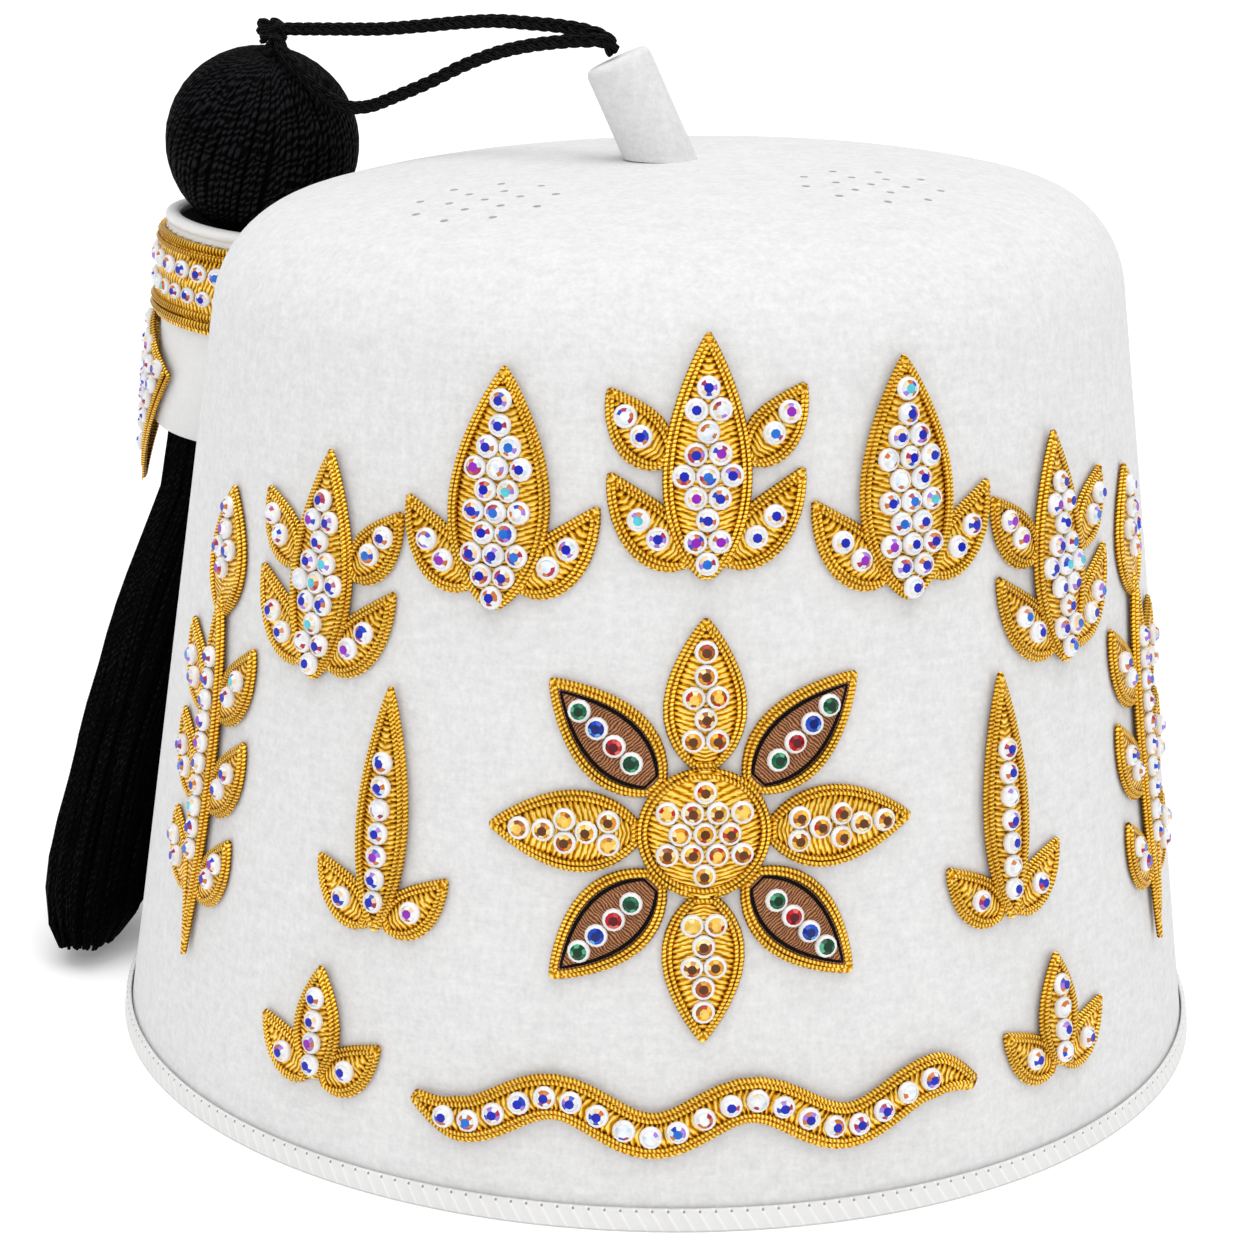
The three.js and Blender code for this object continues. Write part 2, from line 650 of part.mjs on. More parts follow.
function garlandPoint(share, side) {
  const phase = FULL_TURN * GARLAND_WAVES * (share - 0.5);
  const u = GARLAND_HALF_LENGTH * (2 * share - 1);
  const slope = GARLAND_WAVE * Math.cos(phase) * Math.PI * GARLAND_WAVES / GARLAND_HALF_LENGTH;
  const shorten = 1 / Math.hypot(1, slope);
  return { u: u + side * slope * shorten, v: GARLAND_WAVE * Math.sin(phase) - side * shorten };
}

function makeGarland() {
  const steps = 18;
  const stations = Array.from({ length: steps + 1 }, (_, i) => i / steps);
  const ends = (share) => Math.min(1, 0.3 + 9 * Math.min(share, 1 - share));
  const halfWidth = (share) => GARLAND_WIDTH / 2 * ends(share);
  const strip = makeStrip(GARLAND, UPPER_LAYER, stations, garlandPoint, halfWidth);
  const stoneAt = (share) => makeStone(GARLAND, UPPER_LAYER, garlandPoint(share, 0), 1);
  const stones = [0.25, 0.5, 0.75].map(stoneAt);
  return piece('garland', fused([strip, ...stones]), GOLD);
}

// The kite-shaped badge that hangs below the cuff's band and bends round the sleeve
const KITE = { top: 20.4, shoulder: 11, bottom: -13.6, halfWidth: 15, turn: 35 };

function makeKite() {
  const reach = KITE.top - KITE.bottom;
  const split = (KITE.top - KITE.shoulder) / reach;
  const half = (share) => {
    const spread = share < split ? share / split : (1 - share) / (1 - split);
    return Math.max(KITE.halfWidth * spread, 0.8);
  };
  const inner = CUFF_RADIUS + 2 * GAP;
  const outer = inner + PLATE_THICKNESS;
  const wrap = (z, side, radius) => {
    const angle = side / outer + KITE.turn * DEGREE;
    return new THREE.Vector3(radius * Math.cos(angle), radius * Math.sin(angle), z);
  };
  const across = [-1, -0.67, -0.33, 0, 0.33, 0.67, 1];
  const rings = [0, 0.13, split, 0.5, 0.75, 1].map((share) => {
    const z = KITE.top - reach * share;
    const width = half(share);
    const back = across.map((part) => wrap(z, part * width, inner));
    const front = across.map((part) => wrap(z, part * Math.max(width - PLATE_BEVEL, 0.4), outer));
    return [...back, ...front.reverse()];
  });
  return piece('kite_badge', fused([loft(rings)]), GOLD);
}

const fez = new THREE.Group();
fez.add(makeCrown(), makeBinding(), makeStem());

const tassel = makeTasselFrame();
tassel.add(makeCuff(), makeCuffBand(), makeBall(), makeKnot(), makeKite());
fez.add(tassel, makeSkirt());

for (const motif of MOTIFS) {
  fez.add(makeMotif(motif.name, motif, motif.leaves));
}
fez.add(makeMedallion(), makeGarland());

const UPPER_ROUTE = [
  { x: -9.2, y: -0.6, z: 161.5 },
  { x: -10.4, y: -0.3, z: 163.3 },
  { x: -13.6, y: 1.8, z: 164.4 },
  { x: -18.0, y: 5.4, z: 164.9 },
  { x: -23.2, y: 9.8, z: 165.0 },
  { x: -28.9, y: 14.6, z: 165.0 },
  { x: -35.3, y: 20.4, z: 164.3 },
  { x: -42.6, y: 26.6, z: 163.2 },
  { x: -50.1, y: 32.6, z: 162.2 },
  { x: -58.5, y: 39.3, z: 161.6 },
  { x: -64.4, y: 44.2, z: 161.2 },
  { x: -68.8, y: 47.8, z: 160.9 },
];
const LOWER_ROUTE = [
  { x: -9.2, y: -3.5, z: 161.5 },
  { x: -10.5, y: -3.4, z: 163.1 },
  { x: -13.8, y: -1.6, z: 163.2 },
  { x: -18.4, y: 2.2, z: 162.6 },
  { x: -23.5, y: 6.8, z: 161.6 },
  { x: -29.0, y: 11.6, z: 160.0 },
  { x: -35.0, y: 16.8, z: 157.4 },
  { x: -41.0, y: 21.6, z: 154.2 },
  { x: -47.0, y: 26.0, z: 151.4 },
  { x: -52.6, y: 31.8, z: 149.0 },
  { x: -57.4, y: 37.0, z: 148.5 },
  { x: -60.6, y: 39.8, z: 149.8 },
  { x: -63.2, y: 40.2, z: 151.6 },
  { x: -66.2, y: 41.4, z: 154.6 },
  { x: -68.6, y: 43.5, z: 157.0 },
  { x: -70.3, y: 46.5, z: 159.3 },
];
fez.add(makeStrand('cord_upper', UPPER_ROUTE), makeStrand('cord_lower', LOWER_ROUTE));

// The origin is under the middle of the box of all pieces but the cord
const box = new THREE.Box3();
fez.updateMatrixWorld(true);
fez.traverse((node) => {
  if (node.isMesh && !node.name.startsWith('cord_')) {
    box.expandByObject(node, true);
  }
});
const middle = box.getCenter(new THREE.Vector3());
fez.position.set(-middle.x, -middle.y, -box.min.z);

export default fez;
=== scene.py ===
# %% [markdown]
# # A white fez with gold embroidery, cut stones and a black tassel
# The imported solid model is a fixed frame, and this lesson dresses it. Each plain solid is replaced by
# a finished piece that stands in the same place: felt, leather, wound yarn, bullion thread, stones.
# Sizes are in millimetres round the crown's own axis, as on a hatter's drawing. One matrix at the
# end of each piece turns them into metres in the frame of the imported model.

import json
import math
import random
from collections import namedtuple

import bmesh
import bpy
from mathutils import Matrix, Vector

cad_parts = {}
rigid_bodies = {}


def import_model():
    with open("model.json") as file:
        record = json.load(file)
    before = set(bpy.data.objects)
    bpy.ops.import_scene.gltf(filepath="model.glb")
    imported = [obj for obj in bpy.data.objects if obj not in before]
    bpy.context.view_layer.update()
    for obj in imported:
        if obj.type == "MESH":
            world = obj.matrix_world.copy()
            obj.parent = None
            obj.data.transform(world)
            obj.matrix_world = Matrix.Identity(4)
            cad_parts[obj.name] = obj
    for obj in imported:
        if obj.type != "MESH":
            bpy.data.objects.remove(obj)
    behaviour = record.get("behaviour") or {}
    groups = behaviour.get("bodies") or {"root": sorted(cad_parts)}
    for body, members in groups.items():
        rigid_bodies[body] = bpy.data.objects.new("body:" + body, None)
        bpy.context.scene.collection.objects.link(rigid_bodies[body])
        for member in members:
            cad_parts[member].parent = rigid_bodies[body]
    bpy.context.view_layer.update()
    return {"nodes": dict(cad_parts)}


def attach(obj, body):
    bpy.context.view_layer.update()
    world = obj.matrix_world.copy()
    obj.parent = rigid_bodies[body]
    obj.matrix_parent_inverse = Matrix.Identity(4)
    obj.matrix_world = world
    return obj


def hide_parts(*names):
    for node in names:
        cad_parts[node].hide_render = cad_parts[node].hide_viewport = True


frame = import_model()
print("solids in the frame:", len(frame["nodes"]))

# %% Driving sizes of the hat's body
AXIS_X = 9.261162
RIM_RADIUS = 91.6
CORNER_RADIUS = 72.6
CORNER_HEIGHT = 136.5
SHOULDER_FILLET = 18
DOME_RISE = 9.6
DOME_POWER = 3.2
FELT = 2.5
SIDEWAYS_TILT = 0.033
FORWARD_TILT = 0.015
FLARE = (RIM_RADIUS - CORNER_RADIUS) / CORNER_HEIGHT
WALL_LEAN = math.atan(FLARE)
GAP = 0.3
TO_ROW_FRAME = Matrix.Translation((AXIS_X / 1000, 0, 0)) @ Matrix.Scale(0.001, 4)
print("the wall leans in by", round(math.degrees(WALL_LEAN), 2), "degrees")


# %% Objects and meshes
def placed(name, data):
    """Puts an object of the scene at the origin."""
    made = bpy.data.objects.new(name, data)
    bpy.context.scene.collection.objects.link(made)
    return made


def mesh_from(bm, name):
    """Turns a bmesh into a mesh, and lets go of it."""
    mesh = bpy.data.meshes.new(name)
    bm.to_mesh(mesh)
    bm.free()
    return mesh


# %% [markdown]
# ## Camera, floor and light
# The camera stands where the photographer stood: a little above the hat, near its middle, with a
# long lens. Its axes come from a pitch, a small turn and a small roll. The floor is pale and wide
# enough to fill the picture. The light is a white tent of uneven brightness, which gives the gold
# something to mirror, with a wide soft sun overhead and a small lamp in front.

# %% The camera at the photographer's place
PITCH, TURN, ROLL = 0.280, -0.013, 0.014
CAMERA_BACK, CAMERA_HEIGHT, LENS = 0.454637, 0.195555, 79.42

ahead = Vector((
    math.sin(TURN) * math.cos(PITCH),
    math.cos(TURN) * math.cos(PITCH),
    -math.sin(PITCH),
))
level = Vector((math.cos(TURN), -math.sin(TURN), 0))
upright = level.cross(ahead)
right = math.cos(ROLL) * level + math.sin(ROLL) * upright
up = math.cos(ROLL) * upright - math.sin(ROLL) * level
lens = bpy.data.cameras.new("camera")
lens.lens = LENS
lens.sensor_width = 36
lens.clip_start = 0.01
camera = placed("camera", lens)
camera.matrix_world = Matrix.Translation((AXIS_X / 1000, -CAMERA_BACK, CAMERA_HEIGHT)) @ Matrix(
    (right, up, -ahead)
).transposed().to_4x4()
bpy.context.scene.camera = camera
print("the camera looks down by", round(math.degrees(PITCH), 1), "degrees")


# %% [markdown]
# ## Shader sums
# A finish is a small web of nodes. Written as plain sums it is easier to read, so a thin wrapper
# stands for a socket: adding or multiplying it adds the Math node. One method makes most other
# kinds of node from their type, their settings and the values of their sockets.

# %% Numbers and finishes
def grey(level):
    return (level, level, level)


class Amount:
    """A number that varies over a surface. Sums of it add Math nodes to its finish."""

    def __init__(self, finish, socket):
        self.finish = finish
        self.socket = socket

    def combined(self, operation, *operands):
        return self.finish.node("Math", {"operation": operation}, dict(enumerate(operands)))

    def __add__(self, other):
        return self.combined("ADD", self, other)

    def __sub__(self, other):
        return self.combined("SUBTRACT", self, other)

    def __rsub__(self, other):
        return self.combined("SUBTRACT", other, self)

    def __mul__(self, other):
        return self.combined("MULTIPLY", self, other)

    def __truediv__(self, other):
        return self.combined("DIVIDE", self, other)

    def __pow__(self, other):
        return self.combined("POWER", self, other)

    def __lt__(self, other):
        return self.combined("LESS_THAN", self, other)

    def __abs__(self):
        return self.combined("ABSOLUTE", self)


class Finish:
    """A material: its fixed values, and what varies over the surface."""

    def __init__(self, name, fixed):
        self.material = bpy.data.materials.new(name)
        self.material.use_nodes = True
        self.tree = self.material.node_tree
        self.shader = self.tree.nodes["Principled BSDF"]
        for socket, value in fixed.items():
            self.shader.inputs[socket].default_value = value

    def feed(self, socket, value):
        if isinstance(value, Amount):
            self.tree.links.new(value.socket, socket)
        else:
            socket.default_value = value

    def node(self, kind, settings, values, output=0):
        made = self.tree.nodes.new("ShaderNode" + kind)
        for key, value in settings.items():
            setattr(made, key, value)
        for key, value in values.items():
            self.feed(made.inputs[key], value)
        return Amount(self, made.outputs[output])

    def ramp(self, amount, stops, interpolation="LINEAR"):
        made = self.tree.nodes.new("ShaderNodeValToRGB")
        made.color_ramp.interpolation = interpolation
        while len(made.color_ramp.elements) < len(stops):
            made.color_ramp.elements.new(1)
        for element, (position, colour) in zip(made.color_ramp.elements, stops):
            element.position = position
            element.color = (*colour, 1)
        self.feed(made.inputs["Fac"], amount)
        return Amount(self, made.outputs["Color"])

    def place(self):
        """The point of the surface in the part's own frame, in metres."""
        return self.node("TexCoord", {}, {}, "Object")

    def pattern(self):
        """The texture coordinates that each mesh brings along."""
        return self.node("UVMap", {"uv_map": "pattern"}, {})

    def part_of(self, vector, axis):
        return self.node("SeparateXYZ", {}, {0: vector}, axis)

    def stretched(self, vector, factors):
        return self.node("VectorMath", {"operation": "MULTIPLY"}, {0: vector, 1: factors})

    def noise(self, vector, scale, detail=3, roughness=0.5):
        values = {"Vector": vector, "Scale": scale, "Detail": detail, "Roughness": roughness}
        return self.node("TexNoise", {}, values, "Fac")

    def waves(self, amount, period):
        """Rises and falls between 0 and 1 once in each period."""
        turn = amount * (2 * math.pi / period)
        return turn.combined("SINE", turn) * 0.5 + 0.5

    def over(self, share, below, colour):
        """Lays a share of a plain colour over another colour."""
        return self.node("Mix", {"data_type": "RGBA"}, {0: share, 6: below, 7: (*colour, 1)}, 2)

    def vary(self, socket, amount):
        self.feed(self.shader.inputs[socket], amount)

    def colour(self, amount, stops):
        """Colours the surface from a ramp."""
        self.vary("Base Color", self.ramp(amount, stops))

    def relief(self, height, depth, strength=1.0):
        """Raises the surface by a height between 0 and 1, times a depth in millimetres."""
        values = {"Height": height, "Distance": depth / 1000, "Strength": strength}
        self.vary("Normal", self.node("Bump", {}, values))


print("the shader wrapper is ready")

# %% The floor and its light
floor_finish = Finish("pale_floor", {
    "Roughness": 0.85,
    "Specular IOR Level": 0.2,
    "Emission Color": (1, 1, 1, 1),
    "Emission Strength": 0.15,
})
paper = floor_finish.noise(floor_finish.place(), 4)
floor_finish.colour(paper, [(0, grey(0.90)), (1, grey(0.94))])
floor_shape = bmesh.new()
FLOOR_RADIUS = 12
bmesh.ops.create_circle(floor_shape, cap_ends=True, radius=FLOOR_RADIUS, segments=64)
floor = placed("floor", mesh_from(floor_shape, "floor"))
floor.data.materials.append(floor_finish.material)

world = bpy.data.worlds.new("studio")
world.use_nodes = True
studio = world.node_tree
around = studio.nodes.new("ShaderNodeTexCoord")
panels = studio.nodes.new("ShaderNodeTexNoise")
panels.inputs["Scale"].default_value = 3.4
panels.inputs["Detail"].default_value = 0
softboxes = studio.nodes.new("ShaderNodeValToRGB")
dim, bright = softboxes.color_ramp.elements
dim.position, bright.position = 0.42, 0.58
dim.color = (0.5, 0.5, 0.51, 1)
bright.color = (*grey(1.2), 1)
studio.links.new(around.outputs["Generated"], panels.inputs["Vector"])
studio.links.new(panels.outputs["Fac"], softboxes.inputs["Fac"])
studio.links.new(softboxes.outputs["Color"], studio.nodes["Background"].inputs["Color"])
studio.nodes["Background"].inputs["Strength"].default_value = 0.78
bpy.context.scene.world = world
bpy.context.scene.view_settings.view_transform = "Standard"


LOOKED_AT = Vector((0, 0, 0.08))


def add_light(name, kind, place, size, power):
    """A lamp that looks at the hat. size is an area lamp's width, or a sun's softness in radians."""
    lamp = bpy.data.lights.new(name, kind)
    if kind == "SUN":
        lamp.angle = size
    else:
        lamp.shape = "DISK"
        lamp.size = size
    lamp.energy = power
    towards = LOOKED_AT - Vector(place)
    turned = towards.to_track_quat("-Z", "Y").to_matrix().to_4x4()
    placed(name, lamp).matrix_world = Matrix.Translation(place) @ turned


add_light("sky", "SUN", (0.05, -0.15, 1.1), 0.9, 1.55)
add_light("key", "AREA", (-0.05, -0.95, 0.7), 0.25, 0.9)
print("lights:", sum(thing.type == "LIGHT" for thing in bpy.data.objects))


# %% [markdown]
# ## Helpers for meshes
# Three helpers make nearly all the soft and sewn pieces. A patch is a grid whose vertices are sent
# to a formula, which is how a padded leaf is bent round the hat. A tube is a patch rolled round a
# line. A finished piece is turned into metres and handed to the frame. Each grid also gets texture
# coordinates in millimetres along its length, so that a thread looks the same on every piece.

# %% Patches, tubes and finished pieces
def patch(bm, along, across, place, texture, finish=0):
    """A grid sent to place(s, q), with s and q from 0 to 1. Returns its faces."""
    layer = bm.loops.layers.uv.get("pattern") or bm.loops.layers.uv.new("pattern")
    made = bmesh.ops.create_grid(bm, x_segments=along, y_segments=across, size=0.5)["verts"]
    faces = list({face for vertex in made for face in vertex.link_faces})
    for face in faces:
        face.material_index = finish
        for loop in face.loops:
            loop[layer].uv = texture(loop.vert.co.x + 0.5, loop.vert.co.y + 0.5)
    for vertex in made:
        vertex.co = place(vertex.co.x + 0.5, vertex.co.y + 0.5)
    return faces


def tube(bm, line, radius, outward, sides=6, closed=False, finish=0, taper=None, start=0.0):
    """A round thread along a line. outward(point) keeps its seam on one side, and start is where
    its pattern begins."""
    count = len(line)
    rings = []
    travelled = 0.0
    for i, point in enumerate(line):
        nearby = (line[i - 1], line[(i + 1) % count])
        if not closed:
            nearby = (line[max(i - 1, 0)], line[min(i + 1, count - 1)])
        along = (nearby[1] - nearby[0]).normalized()
        side = along.cross(outward(point)).normalized()
        travelled += (point - line[i - 1]).length if i else 0.0
        thickness = radius * (taper(i / (count - 1)) if taper else 1)
        rings.append((point, side * thickness, side.cross(along) * thickness, travelled))
    if closed:
        whole = travelled + (line[0] - line[-1]).length
        rings.append((*rings[0][:3], whole))
    else:
        flat = Vector((0, 0, 0))
        rings.insert(0, (rings[0][0], flat, flat, 0.0))
        rings.append((rings[-1][0], flat, flat, travelled))
    steps = len(rings) - 1

    def place(s, q):
        point, side, out, _ = rings[round(s * steps)]
        turn = 2 * math.pi * q
        return point + side * math.cos(turn) + out * math.sin(turn)

    def texture(s, q):
        return start + rings[round(s * steps)][3], q

    patch(bm, steps, sides, place, texture, finish)


def moved(bm, matrix):
    """Moves all of a bmesh, and returns it."""
    bmesh.ops.transform(bm, matrix=matrix, verts=bm.verts)
    return bm


def finished(bm, name, finishes, slot, *nodes, sharp=50):
    """Turns a mesh into metres, and makes it a piece of the part that replaces the nodes."""
    mesh = mesh_from(moved(bm, TO_ROW_FRAME), name)
    for finish in finishes:
        mesh.materials.append(finish.material)
    mesh.shade_smooth()
    mesh.set_sharp_from_angle(angle=math.radians(sharp))
    made = placed(name, mesh)
    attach(made, "root")
    if nodes:
        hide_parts(*nodes)
    print(name, "has", len(mesh.polygons), "faces")
    return made


def welded(bm):
    """Merges seams and poles, then points every face outwards."""
    bmesh.ops.remove_doubles(bm, verts=bm.verts, dist=1e-3)
    bmesh.ops.dissolve_degenerate(bm, edges=bm.edges, dist=1e-4)
    bmesh.ops.recalc_face_normals(bm, faces=bm.faces)
    return bm


def spun(section, steps, closed):
    """Spins a section of (radius, height) points right round the axis."""
    bm = bmesh.new()
    verts = [bm.verts.new((radius, 0, height)) for radius, height in section]
    pairs = list(zip(verts, verts[1:]))
    if closed:
        pairs.append((verts[-1], verts[0]))
    edges = [bm.edges.new(pair) for pair in pairs]
    bmesh.ops.spin(
        bm,
        geom=verts + edges,
        axis=(0, 0, 1),
        cent=(0, 0, 0),
        angle=2 * math.pi,
        steps=steps,
        use_merge=True,
    )
    return welded(bm)


def add_cone(bm, segments, lower, upper, depth, matrix):
    """Adds a closed frustum about the upright axis of the matrix, with its middle at the origin."""
    bmesh.ops.create_cone(
        bm,
        cap_ends=True,
        segments=segments,
        radius1=lower,
        radius2=upper,
        depth=depth,
        matrix=matrix,
    )


def soften(bm, affect, geom, offset, segments):
    """Rounds edges or corners."""
    bmesh.ops.bevel(
        bm,
        geom=geom,
        affect=affect,
        offset=offset,
        segments=segments,
        profile=0.5,
        material=-1,
    )


print("mesh helpers are ready")

# %% The wall of the hat as a formula
def tilt(point):
    """The top is cut a little higher on the right and at the back."""
    share = min(max(point.z / CORNER_HEIGHT, 0), 1)
    lift = share * (SIDEWAYS_TILT * point.x + FORWARD_TILT * point.y)
    return Vector((point.x, point.y, point.z + lift))


def tilted(bm):
    """Tilts all of a bmesh, and returns it."""
    for vertex in bm.verts:
        vertex.co = tilt(vertex.co)
    return bm


def wall_point(bearing, height, lift):
    """A point off the wall: bearing in degrees from the front towards -X, height and distance."""
    radius = RIM_RADIUS - FLARE * height + lift * math.cos(WALL_LEAN)
    turn = math.radians(bearing)
    level = height + lift * math.sin(WALL_LEAN)
    return tilt(Vector((-radius * math.sin(turn), -radius * math.cos(turn), level)))


def polar(radius, turn, height):
    """A point at an angle round the upright axis."""
    return Vector((radius * math.cos(turn), radius * math.sin(turn), height))


def away_from_axis(point):
    return Vector((point.x, point.y, 0)).normalized()


def smooth_line(points, step):
    """A centripetal curve through the points, with a new point about every step millimetres."""
    ends = [2 * points[0] - points[1], *points, 2 * points[-1] - points[-2]]
    line = []
    for a, b, c, d in zip(ends, ends[1:], ends[2:], ends[3:]):
        t1 = (b - a).length ** 0.5
        t2 = t1 + (c - b).length ** 0.5
        t3 = t2 + (d - c).length ** 0.5
        count = max(round((c - b).length / step), 1)
        for i in range(count):
            t = t1 + (t2 - t1) * i / count
            first = a.lerp(b, t / t1)
            second = b.lerp(c, (t - t1) / (t2 - t1))
            third = c.lerp(d, (t - t2) / (t3 - t2))
            early = first.lerp(second, t / t2)
            late = second.lerp(third, (t - t1) / (t3 - t1))
            line.append(early.lerp(late, (t - t1) / (t2 - t1)))
    line.append(points[-1])
    return line


def length_of(line):
    """The length of a line in its own unit."""
    return sum((b - a).length for a, b in zip(line, line[1:]))


print("half way up the front:", [round(x, 1) for x in wall_point(0, 70, 0)])

# %% [markdown]
# ## The braided cord
# Two runs of black braided cord come out of the felt stem and end in the knot on the tassel's ball.
# Real cord of this kind is a three-strand braid, which shows as lobes along both edges. A tube with
# a bump would have straight edges, so the three strands are modelled, each swinging from side to
# side in a flat figure of eight. The route is the one that the solids follow.

# %% The two runs of cord
UPPER_ROUTE = [
    (-9.2, -0.6, 161.5), (-10.4, -0.3, 163.3), (-13.6, 1.8, 164.4), (-18, 5.4, 164.9),
    (-23.2, 9.8, 165), (-28.9, 14.6, 165), (-35.3, 20.4, 164.3), (-42.6, 26.6, 163.2),
    (-50.1, 32.6, 162.2), (-58.5, 39.3, 161.6), (-64.4, 44.2, 161.2), (-68.8, 47.8, 160.9),
]
LOWER_ROUTE = [
    (-9.2, -3.5, 161.5), (-10.5, -3.4, 163.1), (-13.8, -1.6, 163.2), (-18.4, 2.2, 162.6),
    (-23.5, 6.8, 161.6), (-29, 11.6, 160), (-35, 16.8, 157.4), (-41, 21.6, 154.2),
    (-47, 26, 151.4), (-52.6, 31.8, 149), (-57.4, 37, 148.5), (-60.6, 39.8, 149.8),
    (-63.2, 40.2, 151.6), (-66.2, 41.4, 154.6), (-68.6, 43.5, 157), (-70.3, 46.5, 159.3),
]
STRAND_RADIUS = 0.56
BRAID_PERIOD = 7.8
SIDEWAYS_SWING, THROUGH_SWING = 0.7, 0.34
CORD_STEP = 0.45

cord_finish = Finish("black_cord", {"Roughness": 0.6, "Specular IOR Level": 0.04})
cord_uv = cord_finish.pattern()
cord_along = cord_finish.part_of(cord_uv, 0)
cord_round = cord_finish.part_of(cord_uv, 1)
cord_threads = cord_finish.waves(cord_round * 7 + cord_along * 0.5, 1)
cord_fuzz = cord_finish.noise(cord_finish.place(), 2200)
cord_shade = cord_threads * 0.6 + cord_fuzz * 0.4
cord_finish.colour(cord_shade, [
    (0.3, (0.0006, 0.0006, 0.0008)),
    (0.6, (0.003, 0.003, 0.0035)),
    (0.85, (0.018, 0.018, 0.02)),
])
cord_finish.relief(cord_shade, 0.12, 0.8)


def straight_up(point):
    return Vector((0, 0, 1))


def braid(bm, line, closed=False):
    """Three strands that swing from side to side about a line, as in a flat plait."""
    count = len(line)
    turns = length_of(line) / BRAID_PERIOD
    if closed:
        turns = round((length_of(line) + (line[0] - line[-1]).length) / BRAID_PERIOD)
    for strand in range(3):
        run = []
        for i, point in enumerate(line):
            nearby = (line[max(i - 1, 0)], line[min(i + 1, count - 1)])
            if closed:
                nearby = (line[i - 1], line[(i + 1) % count])
            along = (nearby[1] - nearby[0]).normalized()
            side = along.cross(Vector((0.35, 0.2, 1))).normalized()
            out = side.cross(along)
            turn = 2 * math.pi * (turns * i / (count if closed else count - 1) + strand / 3)
            swing = out * (SIDEWAYS_SWING * math.sin(turn))
            run.append(point + swing + side * (THROUGH_SWING * math.sin(2 * turn)))
        tube(bm, run, STRAND_RADIUS, straight_up, closed=closed)


def make_cord(name, rows):
    line = smooth_line([Vector(row) for row in rows], CORD_STEP)
    bm = bmesh.new()
    braid(bm, line)
    made = finished(welded(bm), name + "_braid", [cord_finish], "black_yarn", name)
    path = [TO_ROW_FRAME @ point for point in [*line[::4], line[-1]]]
    real_length = length_of(path)
    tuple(path[0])
    print(name, "is", round(real_length * 1000, 1), "mm long")


make_cord("cord_upper", UPPER_ROUTE)
make_cord("cord_lower", LOWER_ROUTE)

# %% [markdown]
# ## The felt crown
# Wool felt is pressed, not woven: its fibres lie in all directions, so it has no grain, only a faint
# mottle and a short nap. The crown is a section spun round the axis, with a real wall 2.5 mm thick,
# and the air holes are cut through it with a Boolean, so that they are dark for the right reason.

# %% White felt
white_felt = Finish("white_felt", {"Roughness": 0.95, "Sheen Weight": 0.1, "Specular IOR Level": 0.15})
felt_place = white_felt.place()
nap = white_felt.noise(felt_place, 1500, 4, 0.6)
lying = white_felt.noise(white_felt.stretched(felt_place, (240, 240, 900)), 1, 3, 0.7)
rising = white_felt.noise(white_felt.stretched(felt_place, (1000, 800, 260)), 1, 3, 0.7)
mottle = white_felt.noise(felt_place, 700, 4, 0.7)
felt_shade = nap * 0.25 + lying * 0.25 + rising * 0.2 + mottle * 0.3
white_felt.colour(felt_shade, [(0.38, grey(0.67)), (0.60, (0.80, 0.80, 0.798))])
white_felt.relief(nap * 0.4 + lying * 0.35 + rising * 0.25, 0.3, 0.6)
print("felt is ready")


# %% The crown's outline and its holes
SEAT = 1.1


def crown_outline(offset, wall_steps, fillet_steps, dome_steps):
    """Half the outline: up the wall, round the shoulder and over the dome, as (radius, height)."""
    corner = Vector((CORNER_RADIUS, CORNER_HEIGHT))
    wall_normal = Vector((math.cos(WALL_LEAN), math.sin(WALL_LEAN)))
    dome_slope = 2 * DOME_RISE / CORNER_RADIUS
    dome_normal = Vector((dome_slope, 1)).normalized()
    halfway = wall_normal.angle(dome_normal) / 2
    towards = (wall_normal + dome_normal).normalized()
    centre = corner - towards * (SHOULDER_FILLET / math.cos(halfway))
    last = math.atan2(dome_normal.y, dome_normal.x)
    bend = []
    for i in range(fillet_steps + 1):
        angle = WALL_LEAN + (last - WALL_LEAN) * i / fillet_steps
        reach = SHOULDER_FILLET + offset
        bend.append(Vector((centre.x + reach * math.cos(angle), centre.y + reach * math.sin(angle))))
    foot = Vector((RIM_RADIUS + offset / math.cos(WALL_LEAN) - FLARE * SEAT, SEAT))
    wall = [foot.lerp(bend[0], i / wall_steps) for i in range(wall_steps)]
    edge = bend[-1]
    scale = dome_slope / (DOME_POWER * edge.x ** (DOME_POWER - 1))
    dome = []
    for i in range(1, dome_steps + 1):
        radius = edge.x * (1 - i / dome_steps)
        dome.append(Vector((radius, edge.y + scale * (edge.x ** DOME_POWER - radius ** DOME_POWER))))
    return [tuple(point) for point in wall + bend + dome]


VENT_RADIUS = 0.65
VENT_RINGS = [(1, 0), (6, 5.4), (9, 10.8)]
VENT_GROUPS = [(-28, -33), (31, -26)]
VENT_HEIGHT = 141
VENT_DEPTH = 18

outside = crown_outline(0, 16, 14, 18)
inside = crown_outline(-FELT, 8, 8, 8)
felt_shape = tilted(spun([*reversed(inside), *outside], 168, closed=False))

drill = bmesh.new()
for group_x, group_y in VENT_GROUPS:
    for count, ring in VENT_RINGS:
        for i in range(count):
            turn = 2 * math.pi * i / count
            spot = (group_x + ring * math.cos(turn), group_y + ring * math.sin(turn), VENT_HEIGHT)
            add_cone(drill, 14, VENT_RADIUS, VENT_RADIUS, VENT_DEPTH, Matrix.Translation(spot))
drill_tool = placed("drill", mesh_from(moved(drill, TO_ROW_FRAME), "drill"))

